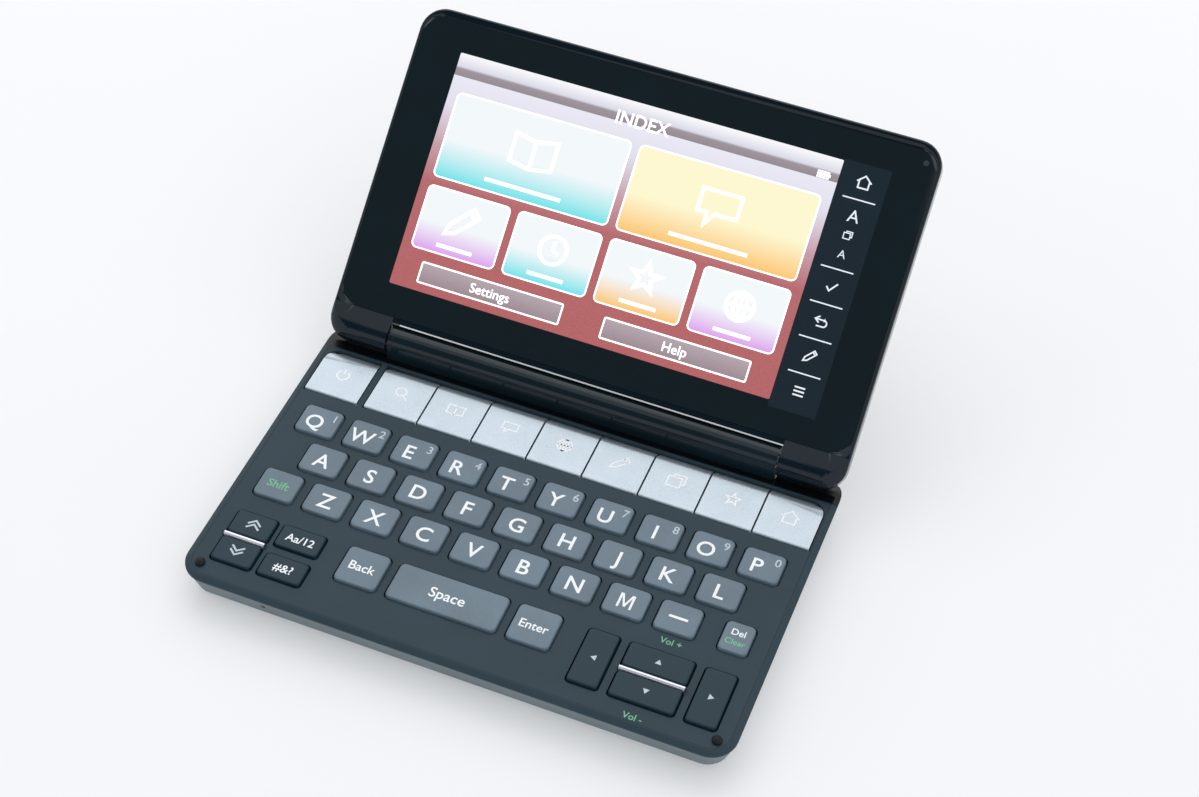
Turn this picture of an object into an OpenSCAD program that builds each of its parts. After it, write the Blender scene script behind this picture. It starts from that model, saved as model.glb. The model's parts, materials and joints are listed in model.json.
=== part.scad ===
// Pocket electronic dictionary: a keyboard base and a display lid, joined by a hinge block
// with two parallel axes, so that the lid closes over the keys and also folds right round
// behind the base. It is drawn with the lid open. Millimetres, +Z up, +Y from the front edge
// towards the hinge. The origin is on the table, under the middle of the open object.

/* [Body] */
// Width of the base and of the lid
body_w = 147.4; // [136:0.1:165]
// Depth of the closed body, from the front edge to the back of the hinge ears
body_d = 94.3; // [88:0.1:106]
// Corner radius, seen from above
corner_r = 7; // [5:0.5:9]
// Height of the base, from its underside to the top of the keyboard panel
base_h = 9.2; // [9:0.1:11]
// Height of the dark panel's upright edge band
band_h = 0.5; // [0.3:0.1:1]
// Inset of the panel's bevelled rim
rim_bevel = 1.4; // [0.6:0.1:1.8]
// Step from the dark panel in to the grey lower case
case_step = 0.2; // [0:0.1:0.5]
// How far the walls of the lower case lean in between the seam and the table
case_lean = 1.8; // [1:0.1:2.4]
// Rounding where the leaning walls meet the underside
case_round = 1.6; // [0.8:0.1:2]
// Wall of the lower case
wall = 1.4; // [1:0.1:1.8]
// Floor of the lower case
floor_t = 1.2; // [0.8:0.1:1.4]
// Keyboard panel's thickness
panel_t = 1.2; // [1:0.1:1.6]

/* [Hinge] */
// Angle between the base and the lid as drawn
open_angle = 140; // [95:1:175]
// Gap between the closed lid's glass and the keys
closed_gap = 0.7; // [0.6:0.05:1.5]
// Radius of the hinge ears of base and lid
ear_r = 4.2; // [4:0.1:4.4]
// Length of each hinge ear across the body
ear_w = 17.8; // [14:0.1:20]
// Radius of the hinge block's round top and bottom
block_r = 3.7; // [3.2:0.1:3.9]
// Gap between the hinge block and the ears beside it
block_side_gap = 0.4; // [0.3:0.05:0.8]
// Gap between the hinge block and the walls that it turns past
block_gap = 0.35; // [0.3:0.05:0.6]
// Radius of a hinge pin
pin_r = 1.5; // [1:0.1:1.8]
// Running clearance of a pin in its ear, on the radius
pin_clearance = 0.05; // [0.02:0.01:0.1]
// Length of a pin inside the block
pin_in_block = 6; // [4:0.5:10]
// Length of a pin inside an ear
pin_in_ear = 8; // [4:0.5:10]
// Length of the slope behind the panel that makes room for the lid's ears
rear_slope = 2.9; // [2.6:0.1:4]

/* [Letter keys] */
// Distance from the side of the body to the outermost letter key
side_margin = 6.2; // [5:0.1:9]
// Gap between neighbouring letter keys, across
letter_gap = 2.78; // [2.2:0.02:4]
// Gap between letter rows
row_gap = 2.48; // [2.2:0.02:4]
// Gap between the silver keys and the top letter row
silver_to_letters = 4.95; // [4.6:0.05:7]
// Corner radius of a grey key
letter_r = 1.3; // [0.6:0.1:2]
// Width of the narrow delete key
delete_w = 7.8; // [6:0.1:9]

/* [Thumb keys] */
// Distance from the front edge to the thumb keys
front_margin = 12.7; // [12.6:0.1:14]
// Depth of the thumb keys
thumb_d = 11.4; // [10:0.1:12]
// Gap between the thumb keys and the third letter row
thumb_to_letters = 5.64; // [4:0.02:7]
// Width of the back key and of the enter key
thumb_w = 11.6; // [10:0.1:12]
// Gap between the thumb keys
thumb_gap = 2.6; // [2:0.1:3]
// Gap between the mode keys and the back key
back_margin = 6.4; // [5.5:0.1:8]
// Gap between the enter key and the left arrow key
enter_margin = 7; // [5.5:0.1:8]

/* [Dark keys] */
// Distance from the front edge to the middle of both dark groups
group_y = 15.3; // [14.5:0.1:16]
// Width of the page keys
page_w = 11.2; // [10:0.1:11.6]
// Depth of the page keys and of the up and down keys
half_d = 7.65; // [7:0.05:8]
// Gap between the page keys and the mode keys
page_gap = 1.7; // [1.6:0.1:2.4]
// Width of the mode and symbol keys
mode_w = 12; // [10:0.1:12.6]
// Depth of the mode and symbol keys
mode_d = 7.1; // [6:0.1:7.6]
// Gap between the mode and symbol keys
mode_gap = 2.6; // [2:0.1:3]
// Distance from the side of the body to the right arrow key
arrow_margin = 5.9; // [5:0.1:7]
// Width of the up and down keys
arrow_w = 17.1; // [15:0.1:17.6]
// Width of the left and right keys
side_w = 8.2; // [7:0.1:8.6]
// Gap beside the up and down keys
side_gap = 2.65; // [2:0.05:3]
// Corner radius of a dark key
dark_r = 0.9; // [0.5:0.1:1.5]
// Thickness of the silver ridge between two half keys
ridge_t = 1.1; // [0.8:0.1:1.4]
// Gap between the ridge and the keys beside it
ridge_gap = 0.25; // [0.2:0.05:0.4]
// How far the ridge stands above the keys
ridge_proud = 0.3; // [0:0.05:0.35]

/* [Silver keys] */
// How many shortcut keys stand beside the power key
shortcut_count = 8; // [6:1:8]
// Distance from the side of the body to the silver row
silver_margin = 2.45; // [2.4:0.05:4]
// Depth of a silver key
silver_d = 15.75; // [14:0.05:16.5]
// Distance from the silver row to the hinge block's room
silver_lip = 2.45; // [2.3:0.05:3.5]
// Gap between two shortcut keys
silver_gap = 0.5; // [0.4:0.05:0.8]
// Gap between the power key and the first shortcut key
power_gap = 2.2; // [1.6:0.1:2.4]
// Radius of the two outer rear corners of the row
silver_corner_r = 4; // [1:0.5:5]
// Small corner radius of the other corners
silver_r = 0.5; // [0.4:0.1:1]
// Radius that rolls the rear edge of a silver key down
silver_roll = 2.2; // [0.5:0.1:3]
// Radius of a silver key's front edge
silver_front_r = 0.5; // [0.3:0.05:0.8]
// How far a silver key stands above the panel
silver_proud = 0.1; // [0:0.05:0.3]

/* [Key action] */
// How far grey and dark keys stand above the panel
key_proud = 0.8; // [0.6:0.05:0.9]
// Travel of a key
key_travel = 0.8; // [0.5:0.05:0.9]
// Gap round a key in its opening
key_gap = 0.35; // [0.3:0.05:0.45]
// Play between a key's flange and the panel above it
key_float = 0.08; // [0.06:0.01:0.15]
// Width of the flange that holds a key under the panel
flange_w = 0.6; // [0.5:0.05:0.7]
// Thickness of that flange
flange_t = 0.6; // [0.4:0.05:0.8]
// Radius of the plunger under a key
plunger_r = 1.5; // [1:0.1:2.4]
// Height of the plunger below the flange
plunger_h = 0.3; // [0.2:0.05:0.6]
// Edge rounding on top of a key
cap_round = 0.4; // [0.2:0.05:0.6]
// Narrowing of a keycap from its foot to its top, each side
cap_draft = 0.1; // [0:0.02:0.2]
// Gap between a pressed key's plunger and its dome
dome_gap = 0.1; // [0.05:0.05:0.2]
// Height of a dome, pressed flat
dome_h = 0.5; // [0.3:0.05:0.7]
// Plastic left above a post's pilot hole
pilot_cover = 0.4; // [0.3:0.1:0.8]
// Radius of a dome at its foot
dome_r = 3; // [2.6:0.1:3.6]
// Radius of a dome at its top
dome_top_r = 1.9; // [1.2:0.1:2.4]
// Thickness of the silicone sheet
mat_t = 0.4; // [0.3:0.05:0.6]

/* [Inside the base] */
// Thickness of the circuit board
board_t = 0.8; // [0.6:0.1:1]
// Gap between the board and the case around it
board_gap = 0.3; // [0.2:0.05:0.8]
// Height of the chips under the board
chip_h = 1.2; // [0.8:0.1:1.6]
// Side of the largest chip
chip_w = 12; // [8:1:14]
// Width of the battery
battery_w = 64; // [50:1:66]
// Depth of the battery
battery_d = 38; // [30:1:40]
// Thickness of the battery
battery_t = 2.8; // [2:0.1:2.9]
// Corner radius of the battery
battery_r = 2; // [1:0.5:4]
// Middle of the battery, across
battery_x = 20; // [16:1:22]
// Thickness of the ribs that hold the battery
rib_t = 1; // [0.8:0.1:1.4]
// Height of those ribs
rib_h = 1.8; // [1:0.1:2.4]
// Length of those ribs along each side
rib_leg = 8; // [4:0.5:12]
// Gap round the battery
battery_gap = 0.2; // [0.1:0.05:0.4]
// Radius of a screw boss
boss_r = 2.2; // [2:0.1:2.5]
// Radius of a screw's clearance hole
screw_r = 0.9; // [0.7:0.05:1]
// Radius of a screw head's recess
screw_head_r = 1.7; // [1.5:0.1:1.9]
// Depth of that recess
screw_head_h = 0.8; // [0.5:0.1:1]
// Radius of a post under the panel
post_r = 1.5; // [1.4:0.1:1.6]
// Radius of the pilot hole in a post
pilot_r = 0.7; // [0.6:0.05:0.8]
// Clearance round a post where it passes the sheet
post_clearance = 0.3; // [0.2:0.05:0.4]
// Front screws: distance from the front edge
front_screw_y = 10; // [9:0.5:12]
// Rear screws: half their distance, across
rear_screw_x = 52; // [48:0.5:56]

/* [Underside] */
// Height of the rubber feet below the case
foot_h = 0.6; // [0.5:0.1:1]
// Depth to which a foot sits in the case
foot_sink = 0.3; // [0.2:0.05:0.4]
// Radius of a foot
foot_r = 3.5; // [2.5:0.1:4]
// Gap round a foot in its recess
foot_gap = 0.05; // [0.02:0.01:0.1]
// Feet: distance of their middles from the side
foot_margin = 9.5; // [8:0.1:11]
// Front feet: distance of their middles from the front edge
front_foot_y = 11.5; // [9:0.5:18]
// Rear feet: distance of their middles from the lower hinge axis
rear_foot_margin = 4.5; // [4.4:0.1:8]
// Radius of the round bumpers on the panel
bumper_r = 1.3; // [1:0.1:1.6]
// Height of the bumpers above the panel
bumper_h = 1.2; // [0.9:0.05:1.25]
// Distance of the bumpers' middles from the front edge and from the sides
bumper_inset = 4.7; // [4:0.1:5]
// Radius of the microphone pinhole in the front wall
pinhole_r = 0.6; // [0.3:0.05:0.6]
// Pinhole: distance from the middle
pinhole_x = -49.9; // [-60:0.1:-40]
// Pinhole: height above the table
pinhole_z = 5.6; // [4:0.1:7.4]

/* [Lid] */
// Height of the glass face in front of the upper hinge axis
glass_rise = 2.8; // [2.6:0.1:3]
// Rounding of the lid's rear edges, inwards
lid_round = 3.2; // [1:0.1:4]
// Rounding of the lid's front edges
lid_front_round = 0.6; // [0.2:0.1:0.8]
// Rear wall of the lid
lid_wall = 1.2; // [0.8:0.1:1.6]
// Thickness of the front glass
glass_t = 1.1; // [0.7:0.1:1.4]
// Width of the rim beside the glass
rim_side = 1.1; // [0.9:0.1:2]
// Width of the rim above the glass
rim_top = 2.4; // [1.5:0.1:4]
// Distance from the upper hinge axis to the glass
glass_foot = 5.5; // [5.2:0.1:7]
// Corner radius of the glass
glass_r = 5; // [3:0.5:6]
// Gap round the glass
glass_gap = 0.1; // [0.05:0.05:0.3]
// Width of the ledge that carries the glass
ledge_w = 1.6; // [1:0.1:2.4]
// Distance from the left side of the lid to the picture
screen_left = 13.5; // [8:0.1:16]
// Distance from the right side of the lid to the picture, with the strip of touch keys
screen_right = 25; // [20:0.1:28]
// Distance from the top of the lid to the picture
screen_top = 10.6; // [8:0.1:16]
// Distance from the upper hinge axis to the picture
screen_foot = 14.2; // [13:0.1:15]
// Border of the display module round the picture
module_border = 3; // [1:0.1:4]
// Thickness of the display module
module_t = 1.7; // [1.5:0.1:3]
// Radius of the posts behind the display module
module_post_r = 3; // [2:0.5:5]
// Distance of those posts from the edges of the picture
module_post_inset = 8; // [4:0.5:15]

/* [Hidden] */
$fn = 64;
corner_steps = 8;   // facets in each corner of a case
cap_steps = 3;      // facets in each corner of a keycap
cavity_gap = 0.7;   // room behind the silver keys' flanges
corner_loss = 0.6;  // share of a shell ring's inset that its corner radius loses
pin_end_gap = 0.5;  // room at the end of a pin
cut_spare = 1;      // how far a cutter runs on past what it cuts
ear_spare = 0.2;    // how far a shell runs on before the round ears cut it off
ring_spare = 0.05;  // how far the lid's shell runs on above the glass
eps = 0.01;
far = 200;

// Heights above the table
floor_z = foot_h;
seam_z = floor_z + base_h - panel_t;
panel_z = floor_z + base_h;
key_z = panel_z + key_proud;
lower_axis_z = floor_z + ear_r;
upper_axis_z = key_z + closed_gap + glass_rise;
flange_z = seam_z - key_float - flange_t;
plunger_z = flange_z - plunger_h;
dome_z = plunger_z - key_travel - dome_gap;
mat_z = dome_z - dome_h - mat_t;
board_z = mat_z - board_t;
cavity_z = floor_z + floor_t;

// Places from the front edge and from the middle
half_w = body_w / 2;
hinge_y = body_d - ear_r;
ear_x = half_w - ear_w;
block_x = ear_x - block_side_gap;
notch_y = hinge_y - block_r - block_gap;
slope_y = hinge_y - rear_slope;
silver_end = notch_y - silver_lip;
silver_y = silver_end - silver_d;
cavity_end = silver_end + flange_w + cavity_gap;
outer_lean = case_step + case_lean;
floor_inset = outer_lean + wall;
lid_len = body_d - ear_r;
lid_notch = block_r + block_gap;
lid_tilt = 180 - open_angle;
glass_back = glass_rise - glass_t;
glass_top = lid_len - rim_top;
glass_half = half_w - rim_side;

// Each ring of the lid's shell: height in front of the hinge axis, inset
lid_rings = [
    [-ear_r, lid_round],
    [-ear_r + 0.1 * lid_round, 0.55 * lid_round],
    [-ear_r + 0.35 * lid_round, 0.2 * lid_round],
    [-ear_r + 0.8 * lid_round, 0],
    [glass_rise - lid_front_round, 0],
    [glass_rise - 0.3 * lid_front_round, 0.3 * lid_front_round],
    [glass_rise + ring_spare, lid_front_round]
];
// The rings above those, which only the lid's hinge ears reach
lid_ear_rings = [
    for (t = [0.4, 0.75, 1.05])
        [glass_rise + t * (ear_r - glass_rise), lid_front_round + lid_round * t * t]
];
// How far the open lid reaches behind the hinge
lid_reach = max([for (r = lid_rings) (lid_len - r[1]) * cos(lid_tilt) - r[0] * sin(lid_tilt)]);
mid_y = (hinge_y + lid_reach) / 2;

// Each key: name, middle across, middle from the front edge, width, depth, style
GREY = 0;
DARK = 1;
SILVER = 2;
key_pitch = (body_w - 2 * side_margin + letter_gap) / 10;
letter_w = key_pitch - letter_gap;
rows_start = front_margin + thumb_d + thumb_to_letters;
rows_end = silver_y - silver_to_letters;
letter_d = (rows_end - rows_start - 2 * row_gap) / 3;
row_pitch = letter_d + row_gap;
top_row_y = rows_end - letter_d / 2;
thumb_y = front_margin + thumb_d / 2;
letter_rows = [["qwertyuiop", 4.5], ["asdfghjkl", 4], ["zxcvbnm", 3.5]];
third_row_y = top_row_y - 2 * row_pitch;
edge_x = 4.5 * key_pitch;
letter_keys = [
    for (r = [0:2]) for (i = [0:len(letter_rows[r][0]) - 1])
        [str("key_", letter_rows[r][0][i]), (i - letter_rows[r][1]) * key_pitch,
         top_row_y - r * row_pitch, letter_w, letter_d, GREY]
];
third_row_ends = [
    ["key_shift", -edge_x, third_row_y, letter_w, letter_d, GREY],
    ["key_dash", 3.5 * key_pitch, third_row_y, letter_w, letter_d, GREY],
    ["key_delete", edge_x + (letter_w - delete_w) / 2, third_row_y, delete_w, letter_d, GREY]
];
mode_x = -edge_x + (page_w + mode_w) / 2 + page_gap;
arrow_x = half_w - arrow_margin - side_w - side_gap - arrow_w / 2;
thumbs_left = mode_x + mode_w / 2 + back_margin;
thumbs_right = arrow_x - arrow_w / 2 - side_gap - side_w - enter_margin;
space_w = thumbs_right - thumbs_left - 2 * (thumb_w + thumb_gap);
space_x = (thumbs_left + thumbs_right) / 2;
thumb_step = (space_w + thumb_w) / 2 + thumb_gap;
thumb_keys = [
    ["key_back", space_x - thumb_step, thumb_y, thumb_w, thumb_d, GREY],
    ["key_space", space_x, thumb_y, space_w, thumb_d, GREY],
    ["key_enter", space_x + thumb_step, thumb_y, thumb_w, thumb_d, GREY]
];
half_step = (ridge_t + half_d) / 2 + ridge_gap;
mode_step = (mode_d + mode_gap) / 2;
side_step = (arrow_w + side_w) / 2 + side_gap;
side_d = 2 * (half_step + half_d / 2);
dark_keys = [
    ["key_page_up", -edge_x, group_y + half_step, page_w, half_d, DARK],
    ["key_page_down", -edge_x, group_y - half_step, page_w, half_d, DARK],
    ["key_mode", mode_x, group_y + mode_step, mode_w, mode_d, DARK],
    ["key_symbol", mode_x, group_y - mode_step, mode_w, mode_d, DARK],
    ["key_up", arrow_x, group_y + half_step, arrow_w, half_d, DARK],
    ["key_down", arrow_x, group_y - half_step, arrow_w, half_d, DARK],
    ["key_left", arrow_x - side_step, group_y, side_w, side_d, DARK],
    ["key_right", arrow_x + side_step, group_y, side_w, side_d, DARK]
];
silver_row_w = body_w - 2 * silver_margin;
silver_w = (silver_row_w - power_gap - (shortcut_count - 1) * silver_gap) / (shortcut_count + 1);
silver_step = silver_w + silver_gap;
power_x = (silver_w - silver_row_w) / 2;
shortcut_x = power_x + silver_w + power_gap;
silver_mid_y = silver_y + silver_d / 2;
silver_keys = concat(
    [["key_power", power_x, silver_mid_y, silver_w, silver_d, SILVER]],
    [for (i = [0:shortcut_count - 1])
        [str("key_shortcut_", i + 1), shortcut_x + i * silver_step, silver_mid_y,
         silver_w, silver_d, SILVER]]
);
KEYS = concat(letter_keys, third_row_ends, thumb_keys, dark_keys, silver_keys);

// Middles of the screws, which stand between the keys, and of the feet
left_screw_x = thumbs_left - back_margin / 2;
right_screw_x = thumbs_right + enter_margin / 2;
rear_screw_y = silver_y - silver_to_letters / 2;
battery_y = (front_screw_y + rear_screw_y) / 2;
screw_places = [
    [left_screw_x, front_screw_y], [right_screw_x, front_screw_y],
    [-rear_screw_x, rear_screw_y], [rear_screw_x, rear_screw_y]
];
foot_x = half_w - foot_margin;
foot_places = [for (x = [-foot_x, foot_x], y = [front_foot_y, hinge_y - rear_foot_margin]) [x, y]];
bumper_x = half_w - bumper_inset;

// The picture on the lid
screen_w = body_w - screen_left - screen_right;
screen_h = lid_len - screen_foot - screen_top;
screen_x = (screen_left - screen_right) / 2;

// Middles and sides of the chips, left of the battery
chip_x = battery_x - battery_w / 2 - 2 * chip_w;
chip_places = [
    [chip_x, battery_y, chip_w], [chip_x - 1.5 * chip_w, battery_y + 0.2 * chip_w, 0.7 * chip_w],
    [chip_x - 0.3 * chip_w, battery_y - 1.3 * chip_w, 0.6 * chip_w]
];

CASE_NODES = ["lower_case", "upper_case", "key_mat", "main_board", "battery_pack",
              "feet_and_bumpers", "hinge_block", "hinge_pins", "lid_back", "touch_panel",
              "lcd_module"];

// Places a base piece, drawn from the front edge, in the whole object's frame.
module in_base() {
    translate([0, -mid_y, 0]) children();
}

// Places a lid piece, drawn with the upper hinge axis as X, the way up the lid as Y and the
// way out of the glass as Z.
module in_lid() {
    translate([0, hinge_y - mid_y, upper_axis_z]) rotate([lid_tilt, 0, 0]) children();
}

// The right and the left copy.
module both_sides() {
    children();
    mirror([1, 0, 0]) children();
}

// Rounded rectangle about the origin, with true arcs.
module round_rect(w, d, r) {
    square([w - 2 * r, d], center = true);
    square([w, d - 2 * r], center = true);
    for (x = [-1, 1], y = [-1, 1]) translate([x * (w / 2 - r), y * (d / 2 - r)]) circle(r);
}

// One ring of a loft: a rounded rectangle from -hw to hw and from y0 to y1, at height z.
function ring(hw, y0, y1, r, z, steps) = [
    for (q = [0:3], i = [0:steps])
        let (a = 90 * (q + i / steps), sx = q == 0 || q == 3 ? 1 : -1)
            [sx * (hw - r) + r * cos(a), (q < 2 ? y1 - r : y0 + r) + r * sin(a), z]
];

// A closed solid through rings that have equally many points, lowest ring first.
module loft(rings) {
    n = len(rings[0]);
    m = len(rings);
    polyhedron(
        points = [for (r = rings) each r],
        faces = concat(
            [[for (i = [0:n - 1]) i]],
            [for (j = [0:m - 2], i = [0:n - 1])
                [j * n + i, (j + 1) * n + i, (j + 1) * n + (i + 1) % n, j * n + (i + 1) % n]],
            [[for (i = [n - 1:-1:0]) (m - 1) * n + i]]
        )
    );
}

// Extrudes a side view, drawn as [along the body, height], across the body from x0 to x1.
module across(x0, x1) {
    translate([x0, 0, 0]) rotate([90, 0, 90]) linear_extrude(x1 - x0) children();
}

// A bore for a hinge pin, from inside the notch into the ear.
module pin_bore() {
    translate([ear_x - eps, 0, 0]) rotate([0, 90, 0])
        cylinder(h = pin_in_ear + block_side_gap + eps, r = pin_r + pin_clearance);
}

// Side view of the base's hinge ears: the slope behind the flat top, then the round.
module base_ear_view() {
    d = norm([rear_slope, panel_z - lower_axis_z]);
    a = atan2(panel_z - lower_axis_z, rear_slope) + acos(ear_r / d);
    translate([hinge_y, lower_axis_z]) circle(ear_r);
    polygon([
        [-cut_spare, 0], [-cut_spare, panel_z + eps], [slope_y, panel_z + eps],
        [hinge_y - ear_r * cos(a), lower_axis_z + ear_r * sin(a)], [hinge_y, floor_z]
    ]);
}

// What shapes the rear of the base: an ear on both sides, and the block's room between them.
module base_rear() {
    both_sides() across(ear_x, far) base_ear_view();
    across(-ear_x, ear_x) translate([-cut_spare, 0]) square([notch_y + cut_spare, far]);
}

// The room of the covers over the ears, which belong to the panel though below the seam.
module ear_cover_room() {
    both_sides() translate([ear_x - cut_spare, cavity_end, lower_axis_z])
        cube([ear_w + 2 * cut_spare, far, far]);
}

// Leaning walls of the base up to the seam. Each ring: height, inset of front and sides.
module lower_body() {
    rings = [
        [floor_z, outer_lean + case_round],
        [floor_z + 0.3 * case_round, outer_lean + 0.5 * case_round],
        [floor_z + case_round, outer_lean],
        [seam_z, case_step]
    ];
    intersection() {
        loft([for (r = rings)
            ring(half_w - r[1], r[1], body_d + ear_spare, corner_r - corner_loss * r[1], r[0],
                 corner_steps)]);
        base_rear();
    }
}

// The bores of the lower hinge axis.
module base_pin_bores() {
    translate([0, hinge_y, lower_axis_z]) both_sides() pin_bore();
}

// Room inside the tray. Its front corners follow the walls.
module lower_cavity() {
    rings = [[cavity_z, floor_inset], [seam_z + eps, case_step + wall]];
    intersection() {
        loft([for (r = rings)
            ring(half_w - r[1], r[1], body_d, corner_r - corner_loss * r[1], r[0],
                 corner_steps)]);
        translate([-half_w, 0, 0]) cube([body_w, cavity_end, far]);
    }
}

// Tray of the base: leaning walls, hinge ears, screw bosses and the ribs round the battery.
module lower_case() color("#727f83") in_base() {
    difference() {
        lower_body();
        ear_cover_room();
        lower_cavity();
        base_pin_bores();
        for (p = foot_places) translate([p[0], p[1], floor_z - eps])
            cylinder(h = foot_sink + eps, r = foot_r + foot_gap);
        for (p = screw_places) translate([p[0], p[1], floor_z - eps]) {
            cylinder(h = screw_head_h + eps, r = screw_head_r);
            cylinder(h = far, r = screw_r);
        }
        translate([pinhole_x, -eps, pinhole_z]) rotate([-90, 0, 0])
            cylinder(h = floor_inset + eps, r = pinhole_r);
    }
    for (p = screw_places) translate([p[0], p[1], cavity_z - eps]) difference() {
        cylinder(h = board_z - cavity_z + eps, r = boss_r);
        translate([0, 0, -cut_spare]) cylinder(h = far, r = screw_r);
    }
    battery_ribs();
}

// Four corner ribs that keep the battery in place.
module battery_ribs() {
    w = battery_w + 2 * battery_gap;
    d = battery_d + 2 * battery_gap;
    translate([battery_x, battery_y, cavity_z - eps])
        for (sx = [-1, 1], sy = [-1, 1]) scale([sx, sy, 1]) translate([w / 2, d / 2, 0]) {
            translate([0, -rib_leg, 0]) cube([rib_t, rib_leg + rib_t, rib_h + eps]);
            translate([-rib_leg, 0, 0]) cube([rib_leg + rib_t, rib_t, rib_h + eps]);
        }
}

// Outline of the whole silver row, grown by g: its two outer rear corners are rounder.
module silver_row(g = 0) {
    w = silver_row_w + 2 * g;
    d = silver_d + 2 * g;
    r = silver_corner_r + g;
    translate([0, silver_mid_y]) {
        translate([-w / 2, -d / 2]) square([w, d - r]);
        translate([-w / 2 + r, -d / 2]) square([w - 2 * r, d]);
        for (s = [-1, 1]) translate([s * (w / 2 - r), d / 2 - r]) circle(r);
    }
}

// Opening of one grey or dark key.
module key_opening(k) {
    r = k[5] == GREY ? letter_r : dark_r;
    translate([k[1], k[2], 0])
        linear_extrude(far) round_rect(k[3] + 2 * key_gap, k[4] + 2 * key_gap, r + key_gap);
}

// Openings of the power key and of the shortcut keys.
module silver_openings() {
    bar_x = power_x + silver_w / 2 + key_gap;
    linear_extrude(far) difference() {
        silver_row(key_gap);
        translate([bar_x, 0]) square([power_gap - 2 * key_gap, far]);
    }
}

// The silver ridge between the two half keys at x, w wide.
module ridge(x, w) {
    h = key_z + ridge_proud - seam_z;
    translate([x - w / 2, group_y - ridge_t / 2, seam_z]) cube([w, ridge_t, h - ridge_t / 2]);
    translate([x - w / 2, group_y, seam_z + h - ridge_t / 2]) rotate([0, 90, 0])
        cylinder(h = w, r = ridge_t / 2);
}

// The panel's plate with its bevelled rim, before the openings are cut.
module plate() {
    rear = body_d + ear_spare;
    intersection() {
        loft([
            ring(half_w, 0, rear, corner_r, seam_z, corner_steps),
            ring(half_w, 0, rear, corner_r, seam_z + band_h, corner_steps),
            ring(half_w - rim_bevel, rim_bevel, rear, corner_r - rim_bevel, panel_z, corner_steps)
        ]);
        base_rear();
    }
}

// Keyboard panel, with its posts, the ridges and the covers over the ears.
module upper_case() color("#3e4a50") in_base() {
    difference() {
        union() {
            plate();
            intersection() {
                lower_body();
                ear_cover_room();
            }
        }
        base_pin_bores();
        for (k = KEYS) if (k[5] != SILVER) key_opening(k);
        silver_openings();
    }
    ridge(-edge_x, page_w + 2 * key_gap + eps);
    ridge(arrow_x, arrow_w + 2 * key_gap + eps);
    for (p = screw_places) translate([p[0], p[1], mat_z]) difference() {
        cylinder(h = seam_z - mat_z + eps, r = post_r);
        translate([0, 0, -eps]) cylinder(h = seam_z - mat_z - pilot_cover, r = pilot_r);
    }
}

// Moulded keycap of a grey or dark key: drafted sides and a rounded top edge.
module cap(k) {
    r = k[5] == GREY ? letter_r : dark_r;
    z0 = flange_z + flange_t / 2;
    insets = [[z0, 0], [key_z - cap_round, cap_draft],
              [key_z - 0.3 * cap_round, cap_draft + 0.3 * cap_round],
              [key_z, cap_draft + cap_round]];
    translate([k[1], k[2], 0]) loft([for (s = insets)
        ring(k[3] / 2 - s[1], -k[4] / 2 + s[1], k[4] / 2 - s[1], r - 0.4 * s[1], s[0], cap_steps)]);
}

// Side view of a silver key up to its top: a round front edge, and a rear edge that rolls down.
module silver_view(top) {
    translate([silver_y - cut_spare, flange_z]) {
        square([silver_d + cut_spare - silver_roll, top - flange_z - silver_front_r]);
        square([silver_d + cut_spare, top - flange_z - silver_roll]);
    }
    translate([silver_y + silver_front_r, flange_z])
        square([silver_d - silver_front_r - silver_roll, far]);
    translate([silver_y + silver_front_r, top - silver_front_r]) circle(silver_front_r);
    translate([silver_end - silver_roll, top - silver_roll]) circle(silver_roll);
}

// Flat cap of a silver key. The row's outer rear corners are round.
module silver_cap(k) {
    top = panel_z + silver_proud;
    intersection() {
        translate([0, 0, flange_z]) linear_extrude(top - flange_z) intersection() {
            translate([k[1], k[2]]) round_rect(k[3], k[4], silver_r);
            silver_row();
        }
        across(k[1] - k[3], k[1] + k[3]) silver_view(top);
    }
}

// One key: the cap, the flange that holds it under the panel and the plunger.
module key(k) {
    colour = k[5] == GREY ? "#6c787e" : k[5] == DARK ? "#333d43" : "#cdd6de";
    side = k[5] == SILVER ? 0 : flange_w;
    color(colour) in_base() {
        if (k[5] == SILVER) silver_cap(k); else cap(k);
        translate([k[1] - k[3] / 2 - side, k[2] - k[4] / 2 - flange_w, flange_z])
            cube([k[3] + 2 * side, k[4] + 2 * flange_w, flange_t]);
        translate([k[1], k[2], plunger_z]) cylinder(h = plunger_h + flange_t / 2, r = plunger_r);
    }
}

// Outline of the board and of the silicone sheet.
module board_view() {
    y0 = floor_inset + board_gap;
    y1 = cavity_end - board_gap;
    r = corner_r - corner_loss * floor_inset - board_gap;
    translate([0, (y0 + y1) / 2]) round_rect(2 * (half_w - y0), y1 - y0, r);
}

// Silicone sheet with one dome under each key.
module key_mat() color("#d9dbd6") in_base() difference() {
    union() {
        translate([0, 0, mat_z]) linear_extrude(mat_t) board_view();
        for (k = KEYS) translate([k[1], k[2], mat_z + mat_t - eps])
            cylinder(h = dome_h + eps, r1 = dome_r, r2 = dome_top_r);
    }
    for (p = screw_places) translate([p[0], p[1], mat_z - cut_spare])
        cylinder(h = far, r = post_r + post_clearance);
}

// Circuit board with its chips on the underside.
module main_board() color("#1f6b47") in_base() difference() {
    union() {
        translate([0, 0, board_z]) linear_extrude(board_t) board_view();
        for (c = chip_places)
            translate([c[0] - c[2] / 2, c[1] - c[2] / 2, board_z - chip_h])
                cube([c[2], c[2], chip_h + eps]);
    }
    for (p = screw_places) translate([p[0], p[1], board_z - cut_spare])
        cylinder(h = far, r = screw_r);
}

// Flat rechargeable cell.
module battery_pack() color("#2f4a7a") in_base()
    translate([battery_x, battery_y, cavity_z])
        linear_extrude(battery_t) round_rect(battery_w, battery_d, battery_r);

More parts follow.
